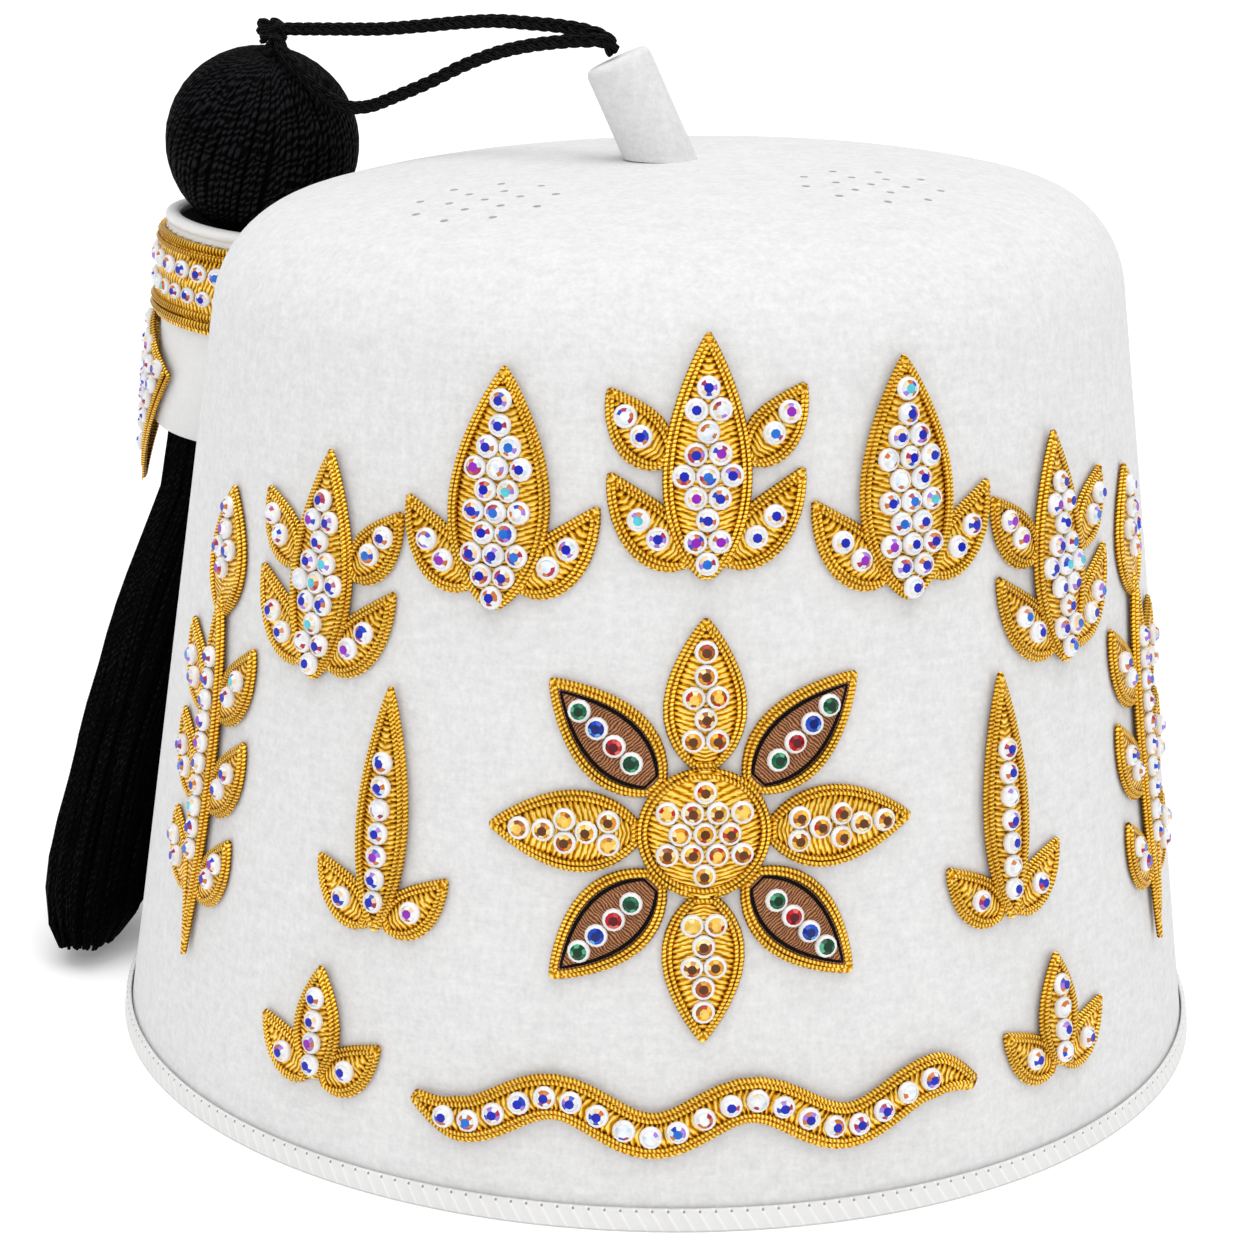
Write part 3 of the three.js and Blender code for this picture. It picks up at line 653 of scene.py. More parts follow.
crown = finished(felt_shape, "felt_crown", [white_felt], "felt", "crown")
cut = crown.modifiers.new("air holes", "BOOLEAN")
cut.operation = "DIFFERENCE"
cut.solver = "EXACT"
cut.object = drill_tool
pierced = bpy.data.meshes.new_from_object(crown.evaluated_get(bpy.context.evaluated_depsgraph_get()))
crown.modifiers.clear()
crown.data = pierced
pierced.name = "felt_crown"
pierced.shade_smooth()
pierced.set_sharp_from_angle(angle=math.radians(50))
bpy.data.objects.remove(drill_tool)
print("the pierced crown has", len(pierced.polygons), "faces")

# %% [markdown]
# ## The leather edging
# A narrow strip of white leather is turned round the felt's cut edge and sewn through. Needle holes
# make a dotted line just under its upper edge, and each stitch pulls a faint crease across it. The
# strip is a channel section with rounded corners, spun round. The sewing is relief and colour, and
# the crest of each crease carries a painted highlight.

# %% White leather
def leather_finish(name):
    leather = Finish(name, {"Roughness": 0.5, "Specular IOR Level": 0.4, "Coat Weight": 0.08})
    place = leather.place()
    grain = leather.node("TexVoronoi", {"feature": "F1"}, {"Vector": place, "Scale": 1500}, "Distance")
    pores = leather.noise(place, 2600, 3)
    patches = leather.noise(place, 90, 3)
    shade = patches * 0.7 + grain * 0.3
    colour = leather.ramp(shade, [(0.3, (0.79, 0.787, 0.775)), (0.65, (0.84, 0.838, 0.83))])
    return leather, place, grain * 0.5 + pores * 0.5, colour


edge_leather, edge_place, edge_grain, edge_colour = leather_finish("edge_leather")
HOLE_PITCH = 2.3
HOLE_HEIGHT = 3.1
HOLE_RADIUS = 0.2
east = edge_leather.part_of(edge_place, 0) * 1000 - AXIS_X
north = edge_leather.part_of(edge_place, 1) * 1000
rise = edge_leather.part_of(edge_place, 2) * 1000
round_rim = north.combined("ARCTAN2", north, east) * RIM_RADIUS
nearest = abs((round_rim / HOLE_PITCH).combined("FRACT", round_rim / HOLE_PITCH) - 0.5) * HOLE_PITCH
above = abs(rise - HOLE_HEIGHT)
needle_hole = (nearest * nearest + above * above) < HOLE_RADIUS ** 2
crease = edge_leather.waves(round_rim + rise * 0.6, HOLE_PITCH)
calm = edge_leather.over(0.5, edge_colour, (0.70, 0.70, 0.69))
# The crest of each crease is painted pale: a painted highlight laid over the real crease relief.
crease_highlighted = edge_leather.over(crease ** 12 * 0.45, calm, (0.95, 0.95, 0.94))
shadowed = edge_leather.over((rise < 0.3) * 0.4, crease_highlighted, (0.35, 0.35, 0.34))
edge_leather.vary("Base Color", edge_leather.over(needle_hole * 0.8, shadowed, (0.2, 0.19, 0.18)))
edge_leather.relief(edge_grain * 0.2 + crease * 0.35 + (1 - needle_hole) * 1.2, 0.2, 0.8)
print("needle holes round the rim:", round(2 * math.pi * RIM_RADIUS / HOLE_PITCH))

# %% The edging's channel
BINDING_HEIGHT = 3.4
BINDING_WALL = 0.8


def binding_outside(height):
    return RIM_RADIUS - FLARE * height + GAP


def binding_inside(height):
    return RIM_RADIUS - FELT / math.cos(WALL_LEAN) - FLARE * height - GAP


channel = [
    (binding_inside(0) - BINDING_WALL, 0),
    (binding_outside(0) + BINDING_WALL, 0),
    (binding_outside(BINDING_HEIGHT) + BINDING_WALL, BINDING_HEIGHT),
    (binding_outside(BINDING_HEIGHT), BINDING_HEIGHT),
    (binding_outside(BINDING_WALL), BINDING_WALL),
    (binding_inside(BINDING_WALL), BINDING_WALL),
    (binding_inside(BINDING_HEIGHT), BINDING_HEIGHT),
    (binding_inside(BINDING_HEIGHT) - BINDING_WALL, BINDING_HEIGHT),
]
section_mesh = bmesh.new()
section_mesh.faces.new([section_mesh.verts.new((x, 0, z)) for x, z in channel])
soften(section_mesh, "VERTICES", section_mesh.verts[:], 0.28, 3)
section_mesh.faces.ensure_lookup_table()
rounded = [(vertex.co.x, vertex.co.z) for vertex in section_mesh.faces[0].verts]
section_mesh.free()
edging = tilted(spun(rounded, 180, closed=True))
finished(edging, "leather_edging", [edge_leather], "leather", "rim_binding")

# %% [markdown]
# ## The felt stem
# The cord comes out of a short roll of felt that leans to one side. It is a cylinder with a rounded
# upper edge, cut off flat where it stands on the dome.

# %% The stem
STEM_RADIUS = 5.5
STEM_LENGTH = 17.6
STEM_LEAN = 25
STEM_FOOT = (-1.5, -2)
dome_top = outside[-1][1]
stem = bmesh.new()
stem_middle = Matrix.Translation((0, 0, (STEM_LENGTH - STEM_RADIUS) / 2))
add_cone(stem, 56, STEM_RADIUS, STEM_RADIUS, STEM_LENGTH + STEM_RADIUS, stem_middle)
upper_rim = [edge for edge in stem.edges if min(v.co.z for v in edge.verts) > STEM_LENGTH - 0.1]
soften(stem, "EDGES", upper_rim, 1.3, 6)
lean = Matrix.Rotation(math.radians(-STEM_LEAN), 4, "Y")
moved(stem, Matrix.Translation((*STEM_FOOT, dome_top)) @ lean)
bmesh.ops.bisect_plane(
    stem,
    geom=stem.verts[:] + stem.edges[:] + stem.faces[:],
    plane_co=(0, 0, dome_top - 0.1),
    plane_no=(0, 0, -1),
    clear_outer=True,
)
bmesh.ops.holes_fill(stem, edges=stem.edges, sides=0)
finished(welded(stem), "felt_stem", [white_felt], "felt", "stem")

# %% [markdown]
# ## The tassel's ball, knot and skirt
# The ball is a core wound with yarn from pole to pole, so it shows fine ribs that run together at
# the top. Each rib is a thread of its own here, because at this size a bump would leave the outline
# smooth. The knot is the braided cord again, tied as a trefoil. The skirt is a bundle of the yarn:
# threads fall from the sleeve, gather in locks, wave a little, and end in a ragged hem. Cloth
# simulation isn't needed for yarn that hangs still.

# %% Black yarn
black_yarn = Finish("black_yarn", {"Roughness": 0.7, "Specular IOR Level": 0.02})
yarn_uv = black_yarn.pattern()
yarn_round = black_yarn.part_of(yarn_uv, 1)
yarn_fuzz = black_yarn.noise(black_yarn.place(), 1800)
tufts = black_yarn.noise(black_yarn.place(), 240)
# Painted light: the ply bands in the colour are painted glints along the twist, and the top of each
# thread is painted lighter, a painted highlight.
ply = black_yarn.waves(black_yarn.part_of(yarn_uv, 0) / 1.6 + yarn_round * 2 + tufts * 3, 1)
yarn_top_light = black_yarn.waves(yarn_round, 1)
yarn_shade = ply * 0.25 + yarn_top_light * 0.3 + yarn_fuzz * 0.25 + tufts * 0.2
black_yarn.colour(yarn_shade, [
    (0.35, (0.0003, 0.0003, 0.0004)),
    (0.6, (0.0012, 0.0012, 0.0015)),
    (0.84, (0.017, 0.017, 0.019)),
])
black_yarn.relief(ply * 0.6 + yarn_fuzz * 0.4, 0.14, 0.9)
print("yarn is ready")

# %% The frame that the tassel's upper pieces stand in
TASSEL_BEARING = 125
TASSEL_LIFT = 18.4
CUFF_FOOT = 86
CUFF_LENGTH = 40
tassel_foot = wall_point(TASSEL_BEARING, CUFF_FOOT, TASSEL_LIFT)
tassel_head = wall_point(TASSEL_BEARING, CUFF_FOOT + CUFF_LENGTH, TASSEL_LIFT)
tassel_up = (tassel_head - tassel_foot).normalized()


def beside(bearing):
    """The level direction along the wall at a bearing in radians."""
    return Vector((-math.cos(bearing), math.sin(bearing), 0))


round_wall = beside(math.radians(TASSEL_BEARING))
tassel_out = (-round_wall).cross(tassel_up).normalized()
tassel_side = tassel_up.cross(tassel_out)
TASSEL = Matrix((tassel_out, tassel_side, tassel_up)).transposed().to_4x4()
TASSEL.translation = tassel_foot
print("the tassel's foot:", [round(x, 1) for x in tassel_foot])

# %% The wound ball and the knot on top of it
BALL_RADIUS = 17.6
BALL_HEIGHT = 53.6
WINDINGS = 82
WINDING_STEPS = 24
WINDING_RADIUS = 0.72
WINDING_TWIST = 0.16
POLE_TIP = 14
random.seed(7)
ball = bmesh.new()
bmesh.ops.create_uvsphere(ball, u_segments=48, v_segments=24, radius=BALL_RADIUS - 0.8)
for winding in range(WINDINGS):
    start = 2 * math.pi * winding / WINDINGS
    wobble = random.uniform(-0.012, 0.012)
    drift = random.uniform(-0.02, 0.02)
    run = []
    for i in range(WINDING_STEPS + 1):
        down = math.pi * (0.012 + 0.976 * i / WINDING_STEPS)
        turn = start + drift * math.sin(down * 3) + wobble + WINDING_TWIST * math.cos(down)
        reach = (BALL_RADIUS - WINDING_RADIUS) * (1 + random.uniform(-0.003, 0.002))
        run.append(polar(reach * math.sin(down), turn, reach * math.cos(down)))
    tube(
        ball,
        run,
        WINDING_RADIUS,
        lambda point: point.normalized(),
        taper=lambda share: 0.25 + 0.75 * math.sin(math.pi * share) ** 0.6,
        start=random.uniform(0, 9),
    )
tipped = Matrix.Rotation(math.radians(POLE_TIP), 4, TASSEL.to_3x3().inverted() @ Vector((1, 0, 0)))
ball_place = TASSEL @ Matrix.Translation((0, 0, BALL_HEIGHT)) @ tipped
finished(welded(moved(ball, ball_place)), "wound_ball", [black_yarn], "black_yarn", "tassel_ball")

KNOT_HEIGHT = BALL_HEIGHT + BALL_RADIUS + GAP + 2.1
KNOT_STEPS = 96
knot = bmesh.new()
loops = []
for i in range(KNOT_STEPS):
    turn = 2 * math.pi * i / KNOT_STEPS
    reach = 1.5 + 0.75 * math.cos(3 * turn)
    loops.append(TASSEL @ polar(reach, 2 * turn, KNOT_HEIGHT + 1.1 * math.sin(3 * turn)))
braid(knot, loops, closed=True)
pole = ball_place @ Vector((0, 0, BALL_RADIUS - 0.6))
knot_middle = TASSEL @ Vector((0, 0, KNOT_HEIGHT))
bend = ball_place @ Vector((0, -1.2, BALL_RADIUS + 1.6))
braid(knot, smooth_line([pole, bend, knot_middle], 0.4))
finished(welded(knot), "cord_knot", [cord_finish], "black_yarn", "tassel_knot")

# %% The hanging skirt
SkirtRow = namedtuple("SkirtRow", "height bearing lift thick wide")
SKIRT_ROWS = [
    SkirtRow(119.4, 125, 18.4, 13.6, 13.6),
    SkirtRow(85, 125, 18.4, 13.6, 13.6),
    SkirtRow(74, 123, 17.6, 12.4, 13),
    SkirtRow(62, 119, 16.2, 12, 15.6),
    SkirtRow(45, 112, 14, 11.2, 16.6),
    SkirtRow(24, 103.5, 12.4, 10, 19),
    SkirtRow(12, 98.5, 11.8, 9.4, 19),
    SkirtRow(5, 97, 11.4, 7.8, 16.8),
    SkirtRow(1.2, 96.6, 11.4, 5.4, 13),
]


def skirt_row(height):
    """A section between two rows of the table."""
    for high, low in zip(SKIRT_ROWS, SKIRT_ROWS[1:]):
        if height >= low.height:
            share = min((height - low.height) / (high.height - low.height), 1)
            return SkirtRow(*(b + (a - b) * share for a, b in zip(high, low)))
    return SKIRT_ROWS[-1]


def skirt_point(height, angle, fill, sway, inset):
    """A point of the bundle: fill 1 is its surface and 0 its middle."""
    row = skirt_row(height)
    point = wall_point(row.bearing, height, row.lift + (row.thick - inset) * fill * math.cos(angle))
    aside = sway - (row.wide - inset) * fill * math.sin(angle)
    return point + beside(math.radians(row.bearing)) * aside


LOCKS = 17
GATHER = 0.22
HEM_HEIGHT = 2
FREE_LENGTH = 80
THREAD_RADIUS = 0.62
THREAD_STEPS = 25
Layer = namedtuple("Layer", "threads fill top")
LAYERS = [Layer(150, 1.0, 122), Layer(110, 0.86, 96), Layer(60, 0.66, 96)]
CORE_TOP, CORE_FOOT, CORE_STEPS = 125, 3.4, 40
CORE_DISH, CORE_INSET = 6, 0.6
HEAD_FILL, BODY_FILL, END_FILL = 1.04, 0.88, 0.02
random.seed(11)
skirt = bmesh.new()


def core_place(share, part):
    """The solid middle: its top is a dish below the ball, and its foot ends inside the hem."""
    height = CORE_TOP - (CORE_TOP - CORE_FOOT) * (share - 1 / CORE_STEPS) / (1 - 1 / CORE_STEPS)
    fill = HEAD_FILL if height > CUFF_FOOT else BODY_FILL
    if share in (0, 1):
        fill = END_FILL
    if share == 0:
        height = CORE_TOP - CORE_DISH
    return skirt_point(height, 2 * math.pi * part, fill, 0, CORE_INSET)


patch(skirt, CORE_STEPS, 28, core_place, lambda share, part: (110 * share, 40 * part))
for threads, fill, top in LAYERS:
    for thread in range(threads):
        angle = 2 * math.pi * (thread + random.uniform(-0.3, 0.3)) / threads
        lock = math.floor(angle / (2 * math.pi) * LOCKS) + 0.5
        lock_angle = 2 * math.pi * lock / LOCKS
        ragged = 0.9 * math.sin(7.3 * lock)
        hem = HEM_HEIGHT + ragged + random.uniform(-0.4, 0.5) + 2 * (1 - fill)
        phase = random.uniform(-0.5, 0.5)
        depth = fill * random.uniform(0.955, 1.0)
        stray = random.uniform(-0.5, 0.5)
        run = []
        for i in range(THREAD_STEPS + 1):
            share = i / THREAD_STEPS
            height = top + (hem - top) * share
            fallen = min(max((CUFF_FOOT - height) / FREE_LENGTH, 0), 1)
            gathered = angle + (lock_angle - angle) * GATHER * fallen
            # A lock's threads share a slow wave, and each adds a quicker one of its own.
            wave = 0.75 * math.sin(height / 6.5 + 1.9 * lock + phase) * fallen ** 0.5
            sway = wave + 0.3 * math.sin(height / 2.9 + 5 * stray) * fallen + stray * fallen
            bulge = 1 - 0.05 * fallen * (0.5 + 0.5 * math.cos(LOCKS * gathered))
            run.append(skirt_point(height, gathered, depth * bulge, sway, THREAD_RADIUS + 0.35))
        tube(
            skirt,
            run,
            THREAD_RADIUS,
            away_from_axis,
            sides=5,
            taper=lambda share: 1 - 0.45 * share ** 14,
            start=random.uniform(0, 9),
        )
finished(welded(skirt), "yarn_skirt", [black_yarn], "black_yarn", "tassel_skirt")

# %% [markdown]
# ## The leather sleeve
# The sleeve is a short tube of white leather that holds the head of the skirt. Its upper edge is
# turned over and sewn down, so the lip is rolled and a line of small stitches runs below it.

# %% The sleeve and its stitches
CUFF_RADIUS = 16
CUFF_WALL = 1.8
CUFF_LIP = 1.1
sleeve_leather, _, sleeve_grain, sleeve_colour = leather_finish("sleeve_leather")
sleeve_leather.vary("Base Color", sleeve_colour)
sleeve_leather.relief(sleeve_grain, 0.06, 0.6)

bore = CUFF_RADIUS - CUFF_WALL
sleeve_section = [(bore + 0.3, 0), (CUFF_RADIUS - 0.3, 0), (CUFF_RADIUS, 0.3), (CUFF_RADIUS, 20)]
sleeve_section.append((CUFF_RADIUS, CUFF_LENGTH - 2.4 * CUFF_LIP))
for degrees in range(-60, 181, 20):
    turn = math.radians(degrees)
    sleeve_section.append((
        CUFF_RADIUS - CUFF_WALL / 2 + 1.25 * CUFF_LIP * math.cos(turn),
        CUFF_LENGTH - CUFF_LIP + CUFF_LIP * math.sin(turn),
    ))
sleeve_section.extend([(bore, CUFF_LENGTH - 2.4 * CUFF_LIP), (bore, 0.3)])
sleeve = moved(spun(sleeve_section, 96, closed=True), TASSEL)
finished(sleeve, "leather_sleeve", [sleeve_leather], "leather", "tassel_cuff")

thread_finish = Finish("white_thread", {"Roughness": 0.7, "Sheen Weight": 0.2})
thread_fuzz = thread_finish.noise(thread_finish.place(), 3000)
thread_finish.colour(thread_fuzz, [(0.3, (0.62, 0.58, 0.50)), (0.7, (0.82, 0.80, 0.74))])
thread_finish.relief(thread_fuzz, 0.05)
STITCHES = 44
STITCH_RADIUS = 0.17
STITCH_DROP = 2.9
stitches = bmesh.new()
for stitch in range(STITCHES):
    run = []
    for i in range(5):
        share = i / 4
        turn = 2 * math.pi * (stitch + 0.12 + 0.7 * share) / STITCHES
        reach = CUFF_RADIUS + 0.05 + 0.12 * math.sin(math.pi * share)
        run.append(polar(reach, turn, CUFF_LENGTH - STITCH_DROP))
    tube(stitches, run, STITCH_RADIUS, away_from_axis, sides=5)
finished(welded(moved(stitches, TASSEL)), "sleeve_stitches", [thread_finish], "leather")

# %% [markdown]
# ## Gold work
# The embroidery is raised: a card or felt pad is covered with flat gold thread laid side by side,
# which is the ground, and edged with purl, a tight coil of gold wire sewn down like a cord. Two
# runs of purl lie side by side round every leaf. The ground and the coil are both finer than a
# face should be, so they are relief and colour that follow the piece's own texture coordinates.

# %% Gold ground, gold purl, brown satin and black cord
gold_ground = Finish("gold_ground", {"Metallic": 0.95, "Roughness": 0.38})
ground_uv = gold_ground.pattern()
ground_u = gold_ground.part_of(ground_uv, 0)
ground_v = gold_ground.part_of(ground_uv, 1)
glints = gold_ground.noise(gold_ground.stretched(ground_uv, (1.6, 0.5, 1)), 1, 2, 0.6)
threads_across = gold_ground.waves(ground_u + ground_v * 0.35 + glints * 0.9, 0.8)
# A painted shadow: the ground darkens in a line just inside the purl, where the purl's shade falls.
seam = [(0.24, grey(1)), (0.40, grey(0)), (0.56, grey(1))]
clear_of_purl_shadow = gold_ground.ramp(ground_v / 4, seam)
ground_shade = threads_across * 0.45 + glints * 0.5 + clear_of_purl_shadow * 0.3 - 0.28
# The colour paints shade in the gaps between the threads, and painted highlights on their crests and in
# bright glint patches, over the gold's own tone.
gold_ground.colour(ground_shade, [
    (0.16, (0.085, 0.02, 0.0008)),
    (0.34, (0.54, 0.21, 0.002)),
    (0.50, (0.90, 0.46, 0.01)),
    (0.70, (1.0, 0.77, 0.2)),
])
gold_ground.relief(threads_across, 0.12, 0.9)

gold_purl = Finish("gold_purl", {"Metallic": 0.95, "Roughness": 0.3})
purl_uv = gold_purl.pattern()
COIL_PITCH = 0.62
slant = gold_purl.part_of(purl_uv, 1) * COIL_PITCH
# Painted light: the colour paints shade between the coil's turns and highlights on them, and paints the
# top of the purl lighter and its underside darker.
coil = gold_purl.waves(gold_purl.part_of(purl_uv, 0) + slant, COIL_PITCH)
purl_top_light = gold_purl.waves(gold_purl.part_of(purl_uv, 1), 1)
dulled = gold_purl.noise(gold_purl.place(), 260)
purl_shade = coil * 0.5 + purl_top_light * 0.3 + dulled * 0.2
gold_purl.colour(purl_shade, [
    (0.26, (0.075, 0.02, 0.0008)),
    (0.46, (0.52, 0.20, 0.002)),
    (0.66, (0.90, 0.46, 0.012)),
    (0.86, (1.0, 0.76, 0.16)),
])
gold_purl.relief(coil, 0.14, 0.9)

brown_satin = Finish("brown_satin", {"Roughness": 0.55, "Specular IOR Level": 0.25})
satin_uv = brown_satin.pattern()
satin_u = brown_satin.part_of(satin_uv, 0)
ripple = brown_satin.noise(brown_satin.stretched(satin_uv, (0.8, 0.8, 1)), 1, 2)
satin_threads = brown_satin.waves(satin_u + ripple * 0.8, 0.42)
brown_satin.colour(satin_threads * 0.7 + ripple * 0.3, [
    (0.2, (0.09, 0.022, 0.006)),
    (0.5, (0.28, 0.10, 0.034)),
    (0.85, (0.52, 0.24, 0.10)),
])
brown_satin.relief(satin_threads, 0.1, 0.9)
print("gold work finishes are ready")


# %% Fields of gold work
class Field:
    """A padded field: its middle line and width on the flat pattern, and what it is laid on."""

    def __init__(self, lay, length, point, half, rise=0.0):
        self.lay = lay
        self.length = length
        self.point = point
        self.half = half
        self.rise = rise

    def at(self, share, side, lift):
        u, v = self.point(share, side)
        return self.lay(u, v, lift + self.rise)

    def ends(self, inset):
        """The shares between which the field has room for a run at this inset."""
        shares = [i / 400 for i in range(401)]
        roomy = [share for share in shares if self.half(share) > inset + 0.08]
        return max(roomy[0], inset / self.length), min(roomy[-1], 1 - inset / self.length)

    def pad(self, share, side):
        """How high the pad stands at a place across the field."""
        return PAD_CREST - (PAD_CREST - PAD_EDGE) * min(abs(side) / self.half(share), 1) ** 3


PAD_EDGE = 0.55
PAD_CREST = 1.15
PAD_SKIN = 0.25
PURL_RADIUS = 0.42
PURL_RUNS = [(0.42, 0.62), (1.22, 0.98)]
GROUND_STEP, PURL_STEP = 1.4, 1.5
SATIN_INSET, SATIN_RISE = 1.5, 0.12
BLACK_INSET, BLACK_LIFT, BLACK_RADIUS = 2.05, 1.1, 0.3
GROUND, PURL, SATIN, BLACK = range(4)
GOLD_FINISHES = [gold_ground, gold_purl, brown_satin, cord_finish]


def add_ground(bm, field, finish=GROUND, inset=0.1, raised=0.0):
    """Covers a field's pad, or only its middle, with a skin. Its texture runs in from the edge."""
    first, last = field.ends(max(inset, PURL_RUNS[0][0]))

    def on_pad(s, part):
        share = first + (last - first) * s
        return share, (1 - 2 * part) * (field.half(share) - inset)

    def place(s, part):
        share, side = on_pad(s, part)
        return field.at(share, side, field.pad(share, side) + raised)

    def texture(s, part):
        share, side = on_pad(s, part)
        return field.length * share, field.half(share) - abs(side)

    steps = max(round(field.length / GROUND_STEP), 10)
    faces = patch(bm, steps, 8, place, texture, finish)
    bmesh.ops.solidify(bm, geom=faces, thickness=PAD_SKIN)


def add_purl(bm, field, inset, lift, radius=PURL_RADIUS, finish=PURL):
    """Lays a closed run of purl just inside a field's edge."""
    first, last = field.ends(inset)
    count = max(round(field.length / PURL_STEP), 9)
    eased = [0.5 - 0.5 * math.cos(math.pi * i / count) for i in range(count + 1)]
    shares = [first + (last - first) * ease for ease in eased]
    line = [field.at(share, field.half(share) - inset, lift) for share in shares]
    line += [field.at(share, inset - field.half(share), lift) for share in reversed(shares)]
    middle = field.at(0.5, 0, 0)
    above = (field.at(0.5, 0, 1) - middle).normalized()
    tube(bm, line, radius, lambda point: above, closed=True, finish=finish)


def add_field(bm, field, satin=False):
    add_ground(bm, field)
    for inset, lift in PURL_RUNS:
        add_purl(bm, field, inset, lift)
    if satin:
        add_ground(bm, field, SATIN, SATIN_INSET, SATIN_RISE)
        add_purl(bm, field, BLACK_INSET, BLACK_LIFT, BLACK_RADIUS, BLACK)


def finish_gold(bm, name, node):
    finished(welded(bm), name + "_gold", GOLD_FINISHES, "gold_thread", node)


print("a field's pad is", PAD_CREST, "mm high")

# %% [markdown]
# ## Cut stones
# Each stone is a foil-backed crystal in a white round setting. The crystal is a cone frustum of
# eight sides, and each of its faces holds a number of its own. The finish turns that number into
# one of the colours that such a stone flashes, so hardly any two stones look the same. Real
# refraction would need far more samples than foil-backed glass repays.

# %% Settings and crystals
def crystal_finish(name, stops):
    crystal = Finish(name, {"Roughness": 0.08, "Specular IOR Level": 0.3})
    number = crystal.node("Attribute", {"attribute_name": "facet"}, {}, "Fac")
    depth = crystal.noise(crystal.place(), 900, 1)
    colour = crystal.ramp(number, stops, "CONSTANT")
    shaded = crystal.node("Mix", {"data_type": "RGBA", "blend_type": "MULTIPLY"}, {
        0: 0.5,
        6: colour,
        7: crystal.ramp(depth, [(0.3, grey(0.55)), (0.6, grey(1))]),
    }, 2)
    crystal.vary("Base Color", shaded)
    crystal.vary("Roughness", depth * 0.08 + 0.03)
    return crystal


TABLE_SHARE = 0.1
CRYSTAL_STOPS = {
    "rainbow": [
        (0.0, (0.004, 0.014, 0.46)), (0.058, (0.01, 0.16, 0.66)), (0.072, (0.1, 0.6, 0.7)),
        (0.078, (0.30, 0.02, 0.5)), (0.084, (0.85, 0.9, 0.97)), (0.1, (0.9, 0.91, 0.93)),
        (0.53, (0.72, 0.85, 0.95)), (0.58, (0.95, 0.70, 0.42)), (0.67, (0.66, 0.19, 0.04)),
        (0.78, (0.45, 0.03, 0.1)), (0.86, (0.42, 0.22, 0.75)), (0.93, (0.02, 0.07, 0.6)),
    ],
    "amber": [
        (0.0, (0.12, 0.032, 0.002)), (0.07, (0.95, 0.62, 0.12)), (0.1, (0.80, 0.33, 0.02)),
        (0.4, (0.98, 0.60, 0.06)), (0.6, (0.40, 0.10, 0.008)), (0.8, (1.0, 0.86, 0.45)),
        (0.92, (0.55, 0.02, 0.008)),
    ],
    "red": [
        (0.0, (0.10, 0.0, 0.004)), (0.1, (0.55, 0.006, 0.015)), (0.6, (0.30, 0.002, 0.008)),
        (0.85, (0.90, 0.16, 0.14)),
    ],
    "green": [
        (0.0, (0.0, 0.03, 0.012)), (0.1, (0.0, 0.16, 0.06)), (0.6, (0.0, 0.07, 0.03)),
        (0.85, (0.10, 0.48, 0.26)),
    ],
    "blue": [
        (0.0, (0.004, 0.015, 0.16)), (0.1, (0.008, 0.08, 0.62)), (0.55, (0.004, 0.03, 0.34)),
        (0.8, (0.12, 0.45, 0.92)),
    ],
}
CRYSTALS = [crystal_finish(name + "_crystal", stops) for name, stops in CRYSTAL_STOPS.items()]
RAINBOW, AMBER, RED, GREEN, BLUE = range(len(CRYSTALS))

setting_finish = Finish("white_setting", {
    "Roughness": 0.28,
    "Specular IOR Level": 0.5,
    "Coat Weight": 0.3,
})
pearl = setting_finish.noise(setting_finish.place(), 380)
setting_finish.colour(pearl, [(0.35, (0.78, 0.76, 0.74)), (0.65, (0.90, 0.90, 0.91))])
setting_finish.relief(setting_finish.noise(setting_finish.place(), 1400), 0.05, 0.4)

SETTING_RADIUS = 1.74
CRYSTAL_RADIUS = 1.34
TABLE_RADIUS = 0.72
CRYSTAL_FOOT, CRYSTAL_RISE = 0.85, 0.6
setting_section = [(1.1, 0.3), (1.6, 0.0), (SETTING_RADIUS, 0.45), (1.58, 0.88), (1.22, 1.04)]
setting_data = mesh_from(spun(setting_section, 12, closed=True), "setting")

crystal_shape = bmesh.new()
crystal_shape.faces.layers.float.new("facet")
crystal_middle = Matrix.Translation((0, 0, CRYSTAL_FOOT + CRYSTAL_RISE / 2))
add_cone(crystal_shape, 8, CRYSTAL_RADIUS, TABLE_RADIUS, CRYSTAL_RISE, crystal_middle)
crystal_data = mesh_from(crystal_shape, "crystal")
print("faces in a setting and a crystal:", len(setting_data.polygons), len(crystal_data.polygons))


# %% Setting stones on a field
STONE_ROOM = 3.3
STONE_WOBBLE = 0.07


